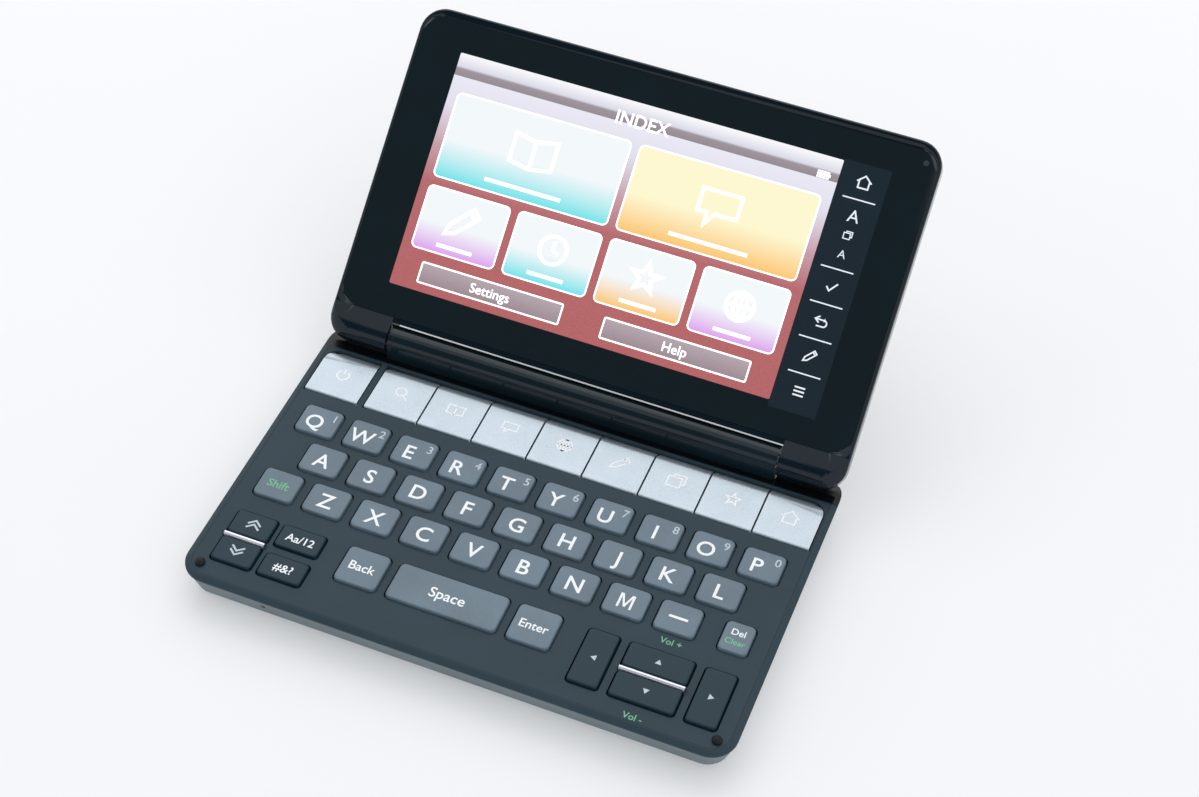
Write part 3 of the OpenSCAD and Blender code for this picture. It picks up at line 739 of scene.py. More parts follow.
class Sign(Enum):
    """Generic pictograms: open lines, closed loops and filled outlines in a square of -1 to 1."""

    UP = ([], [], [[(-0.9, -0.7), (0.9, -0.7), (0.0, 0.8)]])
    DOWN = ([], [], [[(0.9, 0.7), (-0.9, 0.7), (0.0, -0.8)]])
    LEFT = ([], [], [[(0.7, -0.9), (0.7, 0.9), (-0.8, 0.0)]])
    RIGHT = ([], [], [[(-0.7, 0.9), (-0.7, -0.9), (0.8, 0.0)]])
    PAGE_UP = ([[(-1.1, -0.1), (0.0, 0.8), (1.1, -0.1)], [(-1.1, -0.9), (0.0, 0.0), (1.1, -0.9)]],
               [], [])
    PAGE_DOWN = ([[(-1.1, 0.1), (0.0, -0.8), (1.1, 0.1)], [(-1.1, 0.9), (0.0, 0.0), (1.1, 0.9)]],
                 [], [])
    POWER = ([arc((0, -0.1), 0.8, 125, 415, 20), [(0, 0.1), (0, 1.0)]], [], [])
    SEARCH = ([[(0.35, -0.35), (1.0, -1.0)]], [arc((-0.2, 0.2), 0.7, 0, 342, 19)], [])
    BOOK = ([[(0, -0.75), (0, 0.65)]],
            [[(0, -0.75), (-1.1, -0.55), (-1.1, 0.85), (0, 0.65), (1.1, 0.85), (1.1, -0.55)]], [])
    BUBBLE = ([], [[(-1, 0.8), (1, 0.8), (1, -0.3), (-0.1, -0.3), (-0.5, -0.9), (-0.5, -0.3),
                    (-1, -0.3)]], [])
    PEN = ([[(0.35, 0.85), (0.85, 0.35)]],
           [[(-1, -1), (-0.8, -0.3), (0.6, 1.1), (1.1, 0.6), (-0.3, -0.8)]], [])
    CLOCK = ([[(0, 0.6), (0, 0), (0.45, -0.25)]], [circle(0.95)], [])
    STAR = ([], [[(r * math.sin(math.radians(36 * i)), r * math.cos(math.radians(36 * i)))
                  for i, r in enumerate([1.0, 0.42] * 5)]], [])
    GLOBE = ([[(-0.95, 0), (0.95, 0)], [(0, -0.95), (0, 0.95)]],
             [circle(0.95), [(0.45 * x, y) for x, y in circle(0.95)]], [])
    CARDS = ([[(-0.5, 0.75), (-0.5, 1.05), (1.1, 1.05), (1.1, -0.35), (0.75, -0.35)]],
             [[(-1.1, -0.95), (0.65, -0.95), (0.65, 0.6), (-1.1, 0.6)]], [])
    HOUSE = ([[(-1.15, 0.0), (0, 1.0), (1.15, 0.0)],
              [(-0.8, 0.2), (-0.8, -0.95), (0.8, -0.95), (0.8, 0.2)]], [], [])
    MENU = ([[(-0.9, y), (0.9, y)] for y in (0.65, 0.0, -0.65)], [], [])
    RETURN = ([[(-0.3, 0.95), (-1.0, 0.4), (-0.3, -0.15)],
               [(-1.0, 0.4), (0.5, 0.4)] + arc((0.5, -0.15), 0.55, 90, -90, 10) + [(-0.6, -0.7)]],
              [], [])
    TICK = ([[(-0.9, 0.0), (-0.3, -0.7), (0.95, 0.8)]], [], [])
    DASH = ([[(-1, 0), (1, 0)]], [], [])
    LETTER_M = ([], [], [[(-0.88, -1), (-0.88, 1), (-0.5, 1), (0, -0.36), (0.5, 1), (0.88, 1),
                          (0.88, -1), (0.61, -1), (0.61, 0.62), (0.11, -0.8), (-0.11, -0.8),
                          (-0.61, 0.62), (-0.61, -1)]])
    CHARGE = ([], [[(-1.6, -0.8), (1.4, -0.8), (1.4, 0.8), (-1.6, 0.8)]],
              [[(1.5, -0.35), (1.85, -0.35), (1.85, 0.35), (1.5, 0.35)],
               [(-1.3, -0.45), (1.1, -0.45), (1.1, 0.45), (-1.3, 0.45)]])


def smooth_copy(node: str, material: bpy.types.Material, sharp: float = 34.0) -> bpy.types.Object:
    """A copy of a CAD node whose facets are blended, which stands for the node.

    Args:
        node: Name of the node.
        material: Its finish.
        sharp: Angle in degrees from which an edge stays sharp.

    Returns:
        The piece that replaces the node.
    """
    source = frame["nodes"][node]
    solid = bmesh.new()
    solid.from_mesh(source.data)
    bmesh.ops.remove_doubles(solid, verts=solid.verts, dist=WELD)
    bmesh.ops.dissolve_degenerate(solid, dist=WELD / 2, edges=solid.edges)
    data = bpy.data.meshes.new(node + "_shell")
    solid.to_mesh(data)
    solid.free()
    data.polygons.foreach_set("use_smooth", [True] * len(data.polygons))
    data.set_sharp_from_angle(angle=math.radians(sharp))
    data.materials.append(material)
    holder = add_object(node + "_shell", data)
    weigh = holder.modifiers.new("weigh", "WEIGHTED_NORMAL")
    weigh.keep_sharp = True
    weigh.weight = 80
    done = plain_mesh(holder)
    slot = next(s["material_slot"] for s in frame["record"]["subparts"] if s["node"] == node)
    piece = place(node + "_shell", done, material, source["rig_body"], slot)
    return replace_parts(piece, node)


def dress(node: str, material: bpy.types.Material) -> None:
    """Gives a CAD node, which stays as it is, a better material."""
    shown = frame["nodes"][node]
    if not shown.material_slots:
        shown.data.materials.append(material)
    for holder in shown.material_slots:
        holder.link = "OBJECT"
        holder.material = material
    log.info("%s dressed", node)


class Tree:
    """A Geometry Nodes recipe, run once on a set of points and turned into a plain mesh."""

    def __init__(self, name: str, sizes: Dict[str, float]) -> None:
        """Starts a tree with one named input for each size.

        Args:
            name: Name of the tree.
            sizes: Value of each input, in millimetres.
        """
        self.tree = bpy.data.node_groups.new(name, "GeometryNodeTree")
        face = self.tree.interface
        face.new_socket("Geometry", in_out="INPUT", socket_type="NodeSocketGeometry")
        made = {n: face.new_socket(n, in_out="INPUT", socket_type="NodeSocketFloat") for n in sizes}
        face.new_socket("Geometry", in_out="OUTPUT", socket_type="NodeSocketGeometry")
        self.values = {made[n].identifier: v for n, v in sizes.items()}
        self.graph = Graph(self.tree)
        self.points = self.graph.node("NodeGroupInput", {}, {}, "Geometry")

    def size(self, name: str) -> Field:
        """One of the named inputs."""
        return self.points.output(name)

    def finish(self, shape: Field, material: bpy.types.Material) -> None:
        """Puts the shape on every point, makes it real and gives it its material."""
        node = self.graph.node
        spots = node("GeometryNodeInstanceOnPoints", {}, {"Points": self.points, "Instance": shape})
        real = node("GeometryNodeRealizeInstances", {}, {0: spots})
        clad = node("GeometryNodeSetMaterial", {}, {"Geometry": real, "Material": material})
        node("NodeGroupOutput", {}, {0: clad})

    def run(self, name: str, spots: Sequence[Triple],
            matrix: Matrix) -> bpy.types.Mesh:
        """Runs the tree on the points.

        Args:
            name: Name of the new mesh.
            spots: Points in millimetres.
            matrix: Takes millimetres to the row frame.

        Returns:
            A plain mesh in the row frame.
        """
        seed = bpy.data.meshes.new(name)
        seed.from_pydata(spots, [], [])
        holder = add_object(name + "_seed", seed)
        modifier = holder.modifiers.new("recipe", "NODES")
        modifier.node_group = self.tree
        for identifier, value in self.values.items():
            modifier[identifier] = value
        data = plain_mesh(holder)
        data.transform(matrix)
        return data


class Ink(Enum):
    """The inks of the printed legends."""

    WHITE = PrintedInk("ink_white", (250, 252, 254), 0.05)
    PALE = PrintedInk("ink_pale", (204, 214, 222))
    GREEN = PrintedInk("ink_green", (116, 196, 148))
    FAINT = PrintedInk("ink_faint", (255, 255, 255), 0.02)
    # The touch marks are white print; their glow is painted light.
    PAINTED_GLOW = PrintedInk("ink_strip", (232, 238, 244), 0.05, 0.25)


@dataclass(frozen=True)
class Legend:
    """What is printed in one place of a key: words or a pictogram.

    Height and place are in millimetres; the place counts from the middle of the key's top.
    """

    what: Union[str, Sign]
    height: float
    at: Point = (0.0, 0.0)
    ink: Ink = Ink.WHITE
    line: float = 0.35
    weight: float = 0.012

    def print_on(self, stamp: Stamp) -> None:
        """Adds the legend to a stamp."""
        if isinstance(self.what, Sign):
            stamp.sign(self.what, self.height, self.at, self.line)
        else:
            stamp.text(self.what, self.height, self.at, self.weight)


@dataclass
class Keyboard:
    """The keys with their finishes and legends; the sizes of print are in millimetres."""

    capital: float = 4.45
    digit: float = 2.4
    picture: float = 4.2
    inks: Dict[Ink, bpy.types.Material] = field(default_factory=dict)

    def legends(self) -> Dict[str, List[Legend]]:
        """The legends of every key, by node name."""
        found: Dict[str, List[Legend]] = {}
        for letter in "qwertyuiopasdfghjklzxcvbnm":
            found["key_" + letter] = [Legend(letter.upper(), self.capital, (-0.1, -0.2))]
        found["key_m"] = [Legend(Sign.LETTER_M, self.capital, (-0.1, -0.2))]
        for i, letter in enumerate("qwertyuiop"):
            found["key_" + letter] = [
                Legend(letter.upper(), self.capital, (-1.1, -0.5)),
                Legend(str((i + 1) % 10), self.digit, (3.7, 2.0), Ink.PALE, weight=0.006)]
        found.update({
            "key_shift": [Legend("Shift", 2.4, (0, 0), Ink.GREEN)],
            "key_dash": [Legend(Sign.DASH, 5.0, (0, 0), line=0.75)],
            "key_delete": [Legend("Del", 1.9, (0, 1.5)),
                           Legend("Clear", 1.7, (0, -1.5), Ink.GREEN)],
            "key_back": [Legend("Back", 2.6)],
            "key_space": [Legend("Space", 3.0)],
            "key_enter": [Legend("Enter", 2.5)],
            "key_mode": [Legend("Aa/12", 2.3)],
            "key_symbol": [Legend("#&?", 2.4)],
            "key_page_up": [Legend(Sign.PAGE_UP, 3.2, (0.3, 0.3), Ink.PALE, 0.5)],
            "key_page_down": [Legend(Sign.PAGE_DOWN, 3.2, (0.0, 0.3), Ink.PALE, 0.5)],
            "key_up": [Legend(Sign.UP, 1.9, (0, 0.2), Ink.PALE)],
            "key_down": [Legend(Sign.DOWN, 1.9, (0, 0.2), Ink.PALE)],
            "key_left": [Legend(Sign.LEFT, 1.9, (0, 0), Ink.PALE)],
            "key_right": [Legend(Sign.RIGHT, 1.9, (0, 0), Ink.PALE)],
            "key_power": [Legend(Sign.POWER, self.picture, (0, 0.4), Ink.FAINT, 0.45)],
        })
        shortcuts = [Sign.SEARCH, Sign.BOOK, Sign.BUBBLE, Sign.GLOBE, Sign.PEN, Sign.CARDS,
                     Sign.STAR, Sign.HOUSE]
        for i, sign in enumerate(shortcuts):
            printed = Legend(sign, self.picture, (0, 0.4), Ink.FAINT, 0.4)
            found["key_shortcut_%d" % (i + 1)] = [printed]
        return found

    def build(self) -> None:
        """Dresses the keys and prints their legends."""
        self.inks = {ink: ink.value.material() for ink in Ink}
        finishes = {
            "key_grey": MouldedPlastic("grey_keycap", (97, 115, 127), 0.42, 0.25, 0.006).material(),
            "key_dark": MouldedPlastic("dark_keycap", (20, 46, 58), 0.45, 0.25, 0.006,
                                       shine=0.3).material(),
            "key_silver": SilverPaint("silver_keycap", (179, 189, 197)).material(),
        }
        slots = {s["node"]: s["material_slot"] for s in frame["record"]["subparts"]}
        for node, printed in self.legends().items():
            smooth_copy(node, finishes[slots[node]])
            low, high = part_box(node)
            middle = Vector(((low.x + high.x) / 2, (low.y + high.y) / 2, high.z))
            matrix = Matrix.Translation(middle) @ TO_METRES
            for ink in dict.fromkeys(legend.ink for legend in printed):
                stamp = Stamp(PRINT)
                for legend in printed:
                    if legend.ink is ink:
                        legend.print_on(stamp)
                name = "%s_%s" % (node, ink.value.name)
                stamp.piece(name, matrix, self.inks[ink], node, slots[node])
        log.info("%d keys dressed", len(self.legends()))


@dataclass
class Base:
    """The lower half: tray, keyboard panel, feet and what is inside.

    Sizes and places are in millimetres, and the front wall's lean in degrees. A ridge's strip ends
    short of its keys' sides, keeps room to the keys, whose flanges widen them, and rises above
    them. The screws' heads end at a level over the table, in from the panel's front and middle.
    """

    panel_top: float = 9.8
    lip_gap: float = 0.2
    line_beyond: float = 20.0
    ridge_short: float = 0.6
    ridge_room: float = 0.25
    ridge_rise: float = 0.3
    ridge_height: float = 1.4
    ridge_proud: float = 0.04
    flange: float = 0.6
    head_radius: float = 1.5
    head_height: float = 0.55
    head_level: float = 1.4
    cross: float = 0.32
    cross_share: float = 1.25
    screw_front: float = 10.0
    screw_side: float = 52.0
    pinhole: Triple = (-49.9, -79.26, 5.6)
    front_lean: float = 15.8
    # Radius, depth and thickness in millimetres of a dark disc of painted shade inside the pinhole.
    gauze_radius: float = 0.57
    gauze_depth: float = 0.15
    gauze_thickness: float = 0.05
    word: float = 1.8
    word_gap: float = 3.0
    word_shift: float = 0.5
    inks: Dict[Ink, bpy.types.Material] = field(default_factory=dict)

    def build(self) -> None:
        """Dresses the nodes and adds ridges, screws, a dark disc of painted shade in the pinhole and
        the printed volume marks.
        """
        low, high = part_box("upper_case")
        slate = MouldedPlastic("panel_slate", (38, 57, 67), 0.56, 0.35, 0.014, shine=0.3)
        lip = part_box("key_power")[1].y + self.lip_gap * MM
        panel = EdgedPanel(slate, high.x, low.y, high.y + self.line_beyond * MM, lip)
        smooth_copy("upper_case", panel.material(), SHELL_EDGE)
        tray = MouldedPlastic("case_grey", (104, 118, 124), 0.5)
        smooth_copy("lower_case", tray.material(), SHELL_EDGE)
        rubber = MouldedPlastic("rubber", (15, 19, 22), 0.5, 0.2, shine=0.25)
        smooth_copy("feet_and_bumpers", rubber.material())
        dress("key_mat", MouldedPlastic("silicone", (216, 219, 214), 0.6).material())
        dress("main_board", BoardMask("solder_mask", (31, 107, 71)).material())
        dress("battery_pack", BrushedMetal("cell_foil", (47, 74, 122)).material())
        self.ridges()
        self.screws()
        self.gauze()
        self.volume_marks()

    def ridges(self) -> None:
        """Bright strips on the ridges between the half keys."""
        chrome = SilverPaint("ridge_silver", (232, 234, 244), 0.2, 0.6).material()
        sideways = Matrix(((0, 0, 1, 0), (1, 0, 0, 0), (0, 1, 0, 0), (0, 0, 0, 1)))
        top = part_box("key_up")[1].z / MM + self.ridge_rise + self.ridge_proud
        foot = top - self.ridge_height
        for upper, lower, name in (("key_page_up", "key_page_down", "ridge_left"),
                                   ("key_up", "key_down", "ridge_right")):
            below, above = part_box(lower)[1] / MM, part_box(upper)[0] / MM
            width = below.x - above.x - 2 * self.ridge_short
            depth = above.y - below.y + 2 * (self.flange - self.ridge_room + self.ridge_proud)
            crown = arc((0, top - depth / 2), depth / 2, 180, 0, 12)
            start = ((below.x + above.x - width) / 2, (below.y + above.y) / 2, 0.0)
            matrix = TO_METRES @ Matrix.Translation(start) @ sideways
            stamp = Stamp(width).patch([(depth / 2, foot), (-depth / 2, foot)] + crown)
            strip = stamp.piece(name, matrix, chrome, "base", "key_silver").data
            strip.polygons.foreach_set("use_smooth", [True] * len(strip.polygons))
            strip.set_sharp_from_angle(angle=math.radians(40))

    def screws(self) -> None:
        """Cross-head screws in the four recesses of the underside."""
        sizes = {"Head radius": self.head_radius, "Head height": self.head_height,
                 "Cross width": self.cross}
        tree = Tree("case_screws", sizes)
        node = tree.graph.node
        radius, height, cross = (tree.size(n) for n in sizes)
        head = node("GeometryNodeMeshCylinder", {}, {"Vertices": 28, "Radius": radius, "Depth": height})
        length = radius * self.cross_share
        bars = [node("GeometryNodeMeshCube", {}, {"Size": node("ShaderNodeCombineXYZ", {}, {
            0: a, 1: b, 2: height})}) for a, b in ((length, cross), (cross, length))]
        both = node("GeometryNodeJoinGeometry", {}, {0: bars[0]})
        tree.graph.tree.links.new(bars[1].socket, both.socket.node.inputs[0])
        lower = node("GeometryNodeTransform", {}, {
            "Geometry": both,
            "Translation": node("ShaderNodeCombineXYZ", {}, {0: 0.0, 1: 0.0, 2: height * -0.5})})
        cut = node("GeometryNodeMeshBoolean", {"operation": "DIFFERENCE"}, {0: head, 1: lower})
        steel = BrushedMetal("screw_steel", (96, 100, 104), 0.35).material()
        tree.finish(cut, steel)
        spots = [(x, y, self.head_level - self.head_height / 2) for x, y in self.screw_places()]
        place("case_screws", tree.run("case_screws", spots, TO_METRES), steel, "base", "steel")

    def screw_places(self) -> List[Point]:
        """Middles of the screw recesses, in millimetres in the row frame."""
        left = (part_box("key_mode")[1].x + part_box("key_back")[0].x) / 2 / MM
        right = (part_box("key_enter")[1].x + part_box("key_left")[0].x) / 2 / MM
        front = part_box("upper_case")[0].y / MM + self.screw_front
        rear = (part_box("key_q")[1].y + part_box("key_power")[0].y) / 2 / MM
        return [(left, front), (right, front), (-self.screw_side, rear), (self.screw_side, rear)]

    def gauze(self) -> None:
        """A dark disc just inside the pinhole of the front wall: painted shade, standing for the shade
        inside the hole.
        """
        lean = Matrix.Rotation(math.radians(90 + self.front_lean), 4, "X")
        inwards = Matrix.Translation((0, 0, -self.gauze_depth))
        matrix = TO_METRES @ Matrix.Translation(self.pinhole) @ lean @ inwards
        # The disc's near-black colour is painted shade of the hole's inside.
        dark = MouldedPlastic("gauze", (5, 7, 8), 0.8, 0.1, shine=0.1).material()
        disc = Stamp(self.gauze_thickness).patch(circle(self.gauze_radius))
        disc.piece("microphone_gauze", matrix, dark, "base", "rubber")

    def volume_marks(self) -> None:
        """Green words on the panel, behind and in front of the arrow keys."""
        low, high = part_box("key_down")[0] / MM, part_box("key_up")[1] / MM
        middle = (low.x + high.x) / 2
        stamp = Stamp(PRINT)
        stamp.text("Vol +", self.word, (middle + self.word_shift, high.y + self.word_gap), 0.01)
        stamp.text("Vol -", self.word, (middle - self.word_shift, low.y - self.word_gap), 0.01)
        matrix = TO_METRES @ Matrix.Translation((0, 0, self.panel_top))
        stamp.piece("volume_marks", matrix, self.inks[Ink.GREEN], "base", "panel_slate")


@dataclass(frozen=True)
class Tile:
    """One tile of the menu: its middle and sizes in millimetres, its colours and its sign."""

    at: Point
    width: float
    height: float
    low: Colour
    high: Colour
    sign: Sign
    sign_height: float
    corner: float = 1.2

    def outline(self, grow: float = 0.0) -> List[Point]:
        """The tile's outline, grown on all sides."""
        return rounded(self.width + 2 * grow, self.height + 2 * grow, self.corner + grow, self.at)

    def stops(self) -> Stops:
        """The tile's colours, by their height up the lid."""
        up, half = self.at[1], self.height / 2
        return [(up - half, self.low), (up - 0.1 * half, self.high), (up + half, self.high)]

    def bar(self) -> List[Point]:
        """Both ends of the short line under the sign."""
        (across, up), reach = self.at, 0.22 * self.width
        return [(across + x, up - 0.38 * self.height) for x in (-reach, reach)]


@dataclass
class Lid:
    """The upper half: shell, front glass, lit picture and the strip of touch marks.

    Places are in millimetres, across from the middle and up the lid from its hinge axis. A row of
    the picture gives its middle, up from the picture's foot, and its height. The strip's field
    goes beyond the picture below and above, and is a little narrower than the room beside it.
    """

    lid: LidHeights
    glass: float = 2.8
    left: float = -60.2
    right: float = 48.7
    foot: float = 14.2
    top: float = 79.5
    gap: float = 3.0
    header: float = 6.2
    wide_row: Point = (43.0, 23.0)
    narrow_row: Point = (20.0, 17.0)
    button_row: Point = (5.2, 5.6)
    button_share: float = 0.82
    title: float = 3.6
    title_down: float = 5.0
    word: float = 2.6
    strip: float = 55.5
    strip_beyond: Point = (1.6, 0.5)
    strip_short: float = 0.6
    strip_line: Point = (8.85, 0.35)
    ground: float = 0.008
    strip_lines: Tuple[float, ...] = (56.34, 37.5, 27.95, 18.43, 8.9)
    sensor: Point = (69.4, 84.5)
    sensor_radius: float = 0.75
    inks: Dict[Ink, bpy.types.Material] = field(default_factory=dict)

    def build(self) -> None:
        """Dresses the nodes and builds the picture and the strip."""
        shell = PianoBlack("lid_shell", (9, 23, 32), shine=0.28, coat=0.08)
        smooth_copy("lid_back", shell.material(), SHELL_EDGE)
        smooth_copy("touch_panel", PianoBlack("front_glass", (9, 24, 30), 0.03, 0.05).material())
        dress("lcd_module", BrushedMetal("display_tray", (150, 156, 160)).material())
        self.picture()
        self.touch_strip()

    def on_glass(self, lift: float = 0.0, at: Point = (0.0, 0.0)) -> Matrix:
        """Takes millimetres from a place on the glass, or a little above it, to the row frame."""
        return self.lid.matrix() @ Matrix.Translation((at[0], at[1], self.glass + lift))

    def lit(self, name: str, outline: Sequence[Point], stops: Stops, under: int) -> None:
        """Lights an area of the display, in colours by their height and over some layers."""
        finish, area = LitPicture(name, self.lid, tuple(stops)), Stamp(LAYER).patch(outline)
        area.piece(name, self.on_glass(under * LAYER), finish.material(), "lid", "display")

    def columns(self, count: int) -> Tuple[float, List[float]]:
        """The width and the middles of columns that share the picture, with gaps between them."""
        width = (self.right - self.left - (count + 1) * self.gap) / count
        return width, [self.left + (i + 1) * self.gap + (i + 0.5) * width for i in range(count)]

    def tiles(self) -> List[Tile]:
        """Two wide tiles over four narrow ones."""
        cyan, amber, rose = (98, 228, 234), (255, 196, 96), (222, 156, 238)
        white, cream = (244, 249, 252), (255, 249, 206)
        rows = ((self.wide_row, 11.0, ((Sign.BOOK, cyan, white), (Sign.BUBBLE, amber, cream))),
                (self.narrow_row, 8.0, ((Sign.PEN, rose, white), (Sign.CLOCK, cyan, white),
                                        (Sign.STAR, amber, white), (Sign.GLOBE, rose, white))))
        found = []
        for (row, height), size, kinds in rows:
            width, middles = self.columns(len(kinds))
            found += [Tile((x, self.foot + row), width, height, low, high, sign, size)
                      for x, (sign, low, high) in zip(middles, kinds)]
        return found

    def picture(self) -> None:
        """A generic menu: a header, two rows of tiles and a row of buttons."""
        width, height = self.right - self.left, self.top - self.foot
        middle = (self.left + self.right) / 2
        wall = rounded(width, height, 0.3, (middle, self.foot + height / 2), 1)
        shades = ((0.0, (176, 78, 80)), (0.45, (178, 86, 90)), (0.61, (198, 152, 164)),
                  (0.78, (226, 222, 238)), (1.0, (240, 242, 252)))
        self.lit("screen_wall", wall, [(self.foot + share * height, c) for share, c in shades], 0)
        band = rounded(width, self.header, 0.2, (middle, self.top - self.header / 2), 1)
        shades = ((self.header, (140, 126, 135)), (4.2, (150, 140, 148)),
                  (3.6, (218, 217, 231)), (0.0, (252, 252, 255)))
        self.lit("screen_header", band, [(self.top - down, c) for down, c in shades], 1)
        outline, signs = Stamp(LAYER), Stamp(LAYER)
        for i, tile in enumerate(self.tiles()):
            self.lit("screen_tile_%d" % (i + 1), tile.outline(), tile.stops(), 2)
            outline.stroke(tile.outline(0.2), 0.4, True)
            signs.sign(tile.sign, tile.sign_height, (tile.at[0], tile.at[1] + 1.0), 0.9)
            signs.stroke(tile.bar(), 1.0)
        wide, middles = self.columns(2)
        row = self.foot + self.button_row[0]
        shades = ((self.foot + 2, (146, 124, 132)), (self.foot + 8, (178, 160, 168)))
        for i, (x, word) in enumerate(zip(middles, ("Settings", "Help"))):
            button = rounded(wide * self.button_share, self.button_row[1], 0.4, (x, row))
            self.lit("screen_button_%d" % (i + 1), button, shades, 2)
            outline.stroke(button, 0.45, True)
            outline.text(word, self.word, (x, row), 0.01)
        outline.text("INDEX", self.title, (middle, self.top - self.title_down), 0.01)
        outline.sign(Sign.CHARGE, 2.0, (self.right - 4.0, self.top - 5.1), 0.3)
        bright = PrintedInk("screen_white", (255, 255, 255), 0.02, 0.95).material()
        outline.piece("screen_outlines", self.on_glass(3 * LAYER), bright, "lid", "display")
        pale = PrintedInk("screen_signs", (250, 252, 252), 0.02, 0.8).material()
        signs.piece("screen_signs", self.on_glass(3 * LAYER), pale, "lid", "display")

    def touch_strip(self) -> None:
        """White marks of the touch keys, with a painted glow, on their greyer field, with lines between
        them.
        """
        foot, top = self.foot - self.strip_beyond[0], self.top + self.strip_beyond[1]
        width = 2 * (self.strip - self.right) - self.strip_short
        ground = rounded(width, top - foot, 0.2, (self.right + width / 2, (top + foot) / 2), 1)
        grey = PianoBlack("strip_ground", (27, 40, 50), 0.05, 0.05).material()
        plate = Stamp(self.ground).patch(ground)
        plate.piece("strip_ground", self.on_glass(), grey, "lid", "front_glass")
        # The marks and lines get the white ink with the painted glow.
        lamp, here = self.inks[Ink.PAINTED_GLOW], self.on_glass(0.0, (self.strip, self.foot))
        sizes = {"Line width": self.strip_line[0], "Line height": self.strip_line[1],
                 "Line depth": PRINT}
        tree = Tree("strip_lines", sizes)
        box = tree.graph.node("ShaderNodeCombineXYZ", {}, dict(enumerate(tree.size(n) for n in sizes)))
        tree.finish(tree.graph.node("GeometryNodeMeshCube", {}, {"Size": box}), lamp)
        data = tree.run("strip_lines", [(0.0, up, PRINT / 2) for up in self.strip_lines], here)
        place("strip_lines", data, lamp, "lid", "front_glass")
        marks = Stamp(PRINT)
        for mark in (Legend(Sign.HOUSE, 3.4, (0, 61.1), line=0.42),
                     Legend("A", 3.2, (0, 51.9), weight=0.0),
                     Legend(Sign.CARDS, 2.0, (0, 46.7), line=0.28),
                     Legend("A", 2.1, (0, 41.6), weight=0.0),
                     Legend(Sign.TICK, 3.0, (0, 32.6), line=0.42),
                     Legend(Sign.RETURN, 3.2, (0, 23.1), line=0.4),
                     Legend(Sign.PEN, 3.0, (0, 13.8), line=0.38),
                     Legend(Sign.MENU, 3.2, (0, 4.2), line=0.45)):
            mark.print_on(marks)
        marks.piece("strip_marks", here, lamp, "lid", "front_glass")
        lens = PrintedInk("sensor_lens", (46, 52, 58), 0.3).material()
        eye = Stamp(PRINT).patch(circle(self.sensor_radius, self.sensor))
        eye.piece("light_sensor", self.on_glass(), lens, "lid", "front_glass")


@dataclass
class Hinge:
    """The block between both axes, and its pins."""

    def build(self) -> None:
        """Dresses both nodes."""
        gloss = PianoBlack("hinge_gloss", (17, 31, 37), 0.1, shine=0.28, coat=0.08)
        smooth_copy("hinge_block", gloss.material())
        dress("hinge_pins", BrushedMetal("pin_steel", (184, 188, 192)).material())
        log.info("hinge dressed")


@dataclass(frozen=True)
class Lamp:
    """A soft square lamp that faces the object.

    Direction points from the object to the lamp; distance and side are in metres.
    """

    name: str
    direction: Triple
    distance: float
    side: float
    radiance: float

    def build(self) -> None:
        """Hangs the lamp."""
        data = bpy.data.lights.new(self.name, "AREA")
        data.shape = "SQUARE"
        data.size = self.side
        data.energy = self.radiance * math.pi * self.side * self.side
        lamp = add_object(self.name, data)
        away = Vector(self.direction).normalized()
        lamp.location = away * self.distance
        lamp.rotation_euler = away.to_track_quat("Z", "Y").to_euler()


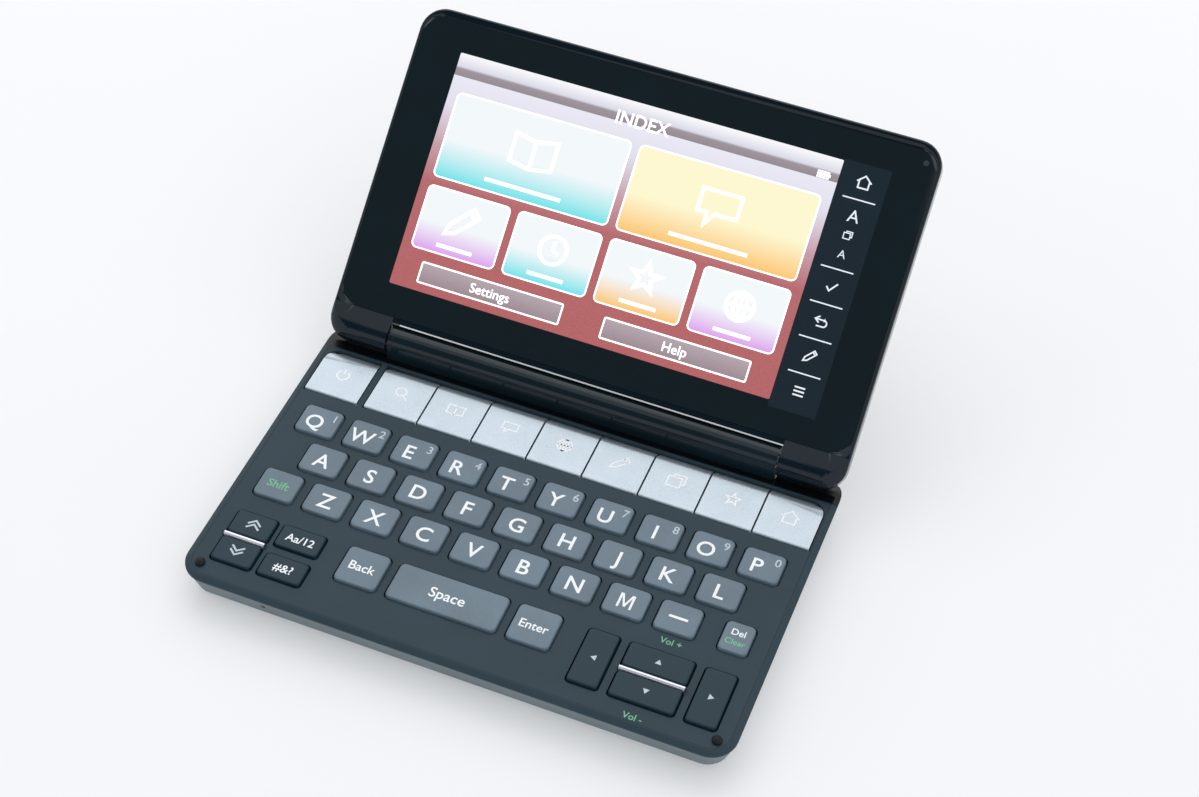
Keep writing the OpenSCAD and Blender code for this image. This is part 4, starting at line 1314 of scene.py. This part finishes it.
@dataclass
class Studio:
    """Pale floor, a soft lamp, the world's light and the camera.

    Position and floor are in metres, the turn in degrees and the lens in millimetres. Lift is the
    share of the floor's look that no shadow reaches, and the patch's reach is given by cosines.
    """

    position: Triple = (0.14204339, -0.37270456, 0.47082727)
    turn: Triple = (41.7445, -1.6371, 21.5407)
    lens: float = 69.0067
    dim_patch: Triple = (-0.23, -0.64, 0.73)
    patch_reach: Point = (0.88, 0.955)
    lift: float = 0.33
    half_floor: float = 4.0
    card_shades: Tuple[Colour, Colour] = ((247, 246, 246), (249, 248, 248))
    card_seen: Colour = (246, 247, 249)

    def build(self) -> None:
        """Builds everything that isn't the object."""
        self.floor()
        self.world()
        Lamp("rear_lamp", (-0.23, 0.62, 0.75), 1.1, 1.0, 1.05).build()
        data = bpy.data.cameras.new("view")
        data.lens = self.lens
        data.sensor_width = 36.0
        data.clip_start = 0.01
        camera = add_object("view", data)
        camera.location = self.position
        camera.rotation_euler = [math.radians(a) for a in self.turn]
        bpy.context.scene.camera = camera
        bpy.context.scene.view_settings.view_transform = "Standard"

    def floor(self) -> None:
        """A large pale floor, on which shadows look fainter to the camera than they are."""
        made = Paint("floor_card")
        graph = made.graph
        cloud = graph.noise(made.place, 90.0, 3.0)
        card = graph.mix(cloud, *(linear(shade) for shade in self.card_shades))
        path = graph.node("ShaderNodeLightPath", {}, {}, "Is Camera Ray")
        seen = path.most(path.output("Is Glossy Ray")).most(path.output("Is Transmission Ray"))
        black = (0.0, 0.0, 0.0, 1.0)
        made.vary("Base Color", graph.mix(seen * self.lift, card, black))
        made.vary("Emission Color", graph.mix(seen * self.lift, black, linear(self.card_seen)))
        made.constant(Roughness=0.9, Specular_IOR_Level=0.1, Emission_Strength=1.0)
        data = bpy.data.meshes.new("floor")
        corners = [(x * self.half_floor, y * self.half_floor, 0.0)
                   for x, y in ((-1, -1), (1, -1), (1, 1), (-1, 1))]
        data.from_pydata(corners, [], [(0, 1, 2, 3)])
        data.materials.append(made.material)
        floor = add_object("floor", data)

    def world(self) -> None:
        """White light from all round, with a dim patch where the lid's glass looks."""
        world = bpy.data.worlds.new("studio")
        world.use_nodes = True
        bpy.context.scene.world = world
        graph = Graph(world.node_tree)
        ways = graph.node("ShaderNodeTexCoord", {}, {}, "Generated")
        toward = graph.node("ShaderNodeVectorMath", {"operation": "DOT_PRODUCT"},
                            {0: ways, 1: Vector(self.dim_patch).normalized()}, "Value")
        day, dim = (0.93, 0.96, 0.99, 1.0), (0.1, 0.12, 0.13, 1.0)
        tone = graph.mix(toward.ramp(*self.patch_reach), day, dim)
        back = world.node_tree.nodes["Background"]
        graph.tree.links.new(tone.socket, back.inputs["Color"])


def main() -> None:
    """Builds the studio and the dictionary."""
    logging.basicConfig(level=logging.INFO, format="%(message)s")
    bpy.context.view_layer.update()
    hinge = next(j for j in frame["joints"] if j["name"] == "lid_hinge")
    open_angle = -hinge["range_deg"][0]
    lid = LidHeights(tuple(hinge["pos_m"]), math.radians(180 - open_angle))
    Studio().build()
    keyboard = Keyboard()
    keyboard.build()
    Base(inks=keyboard.inks).build()
    Hinge().build()
    Lid(lid, inks=keyboard.inks).build()


if __name__ == "__main__":
    main()
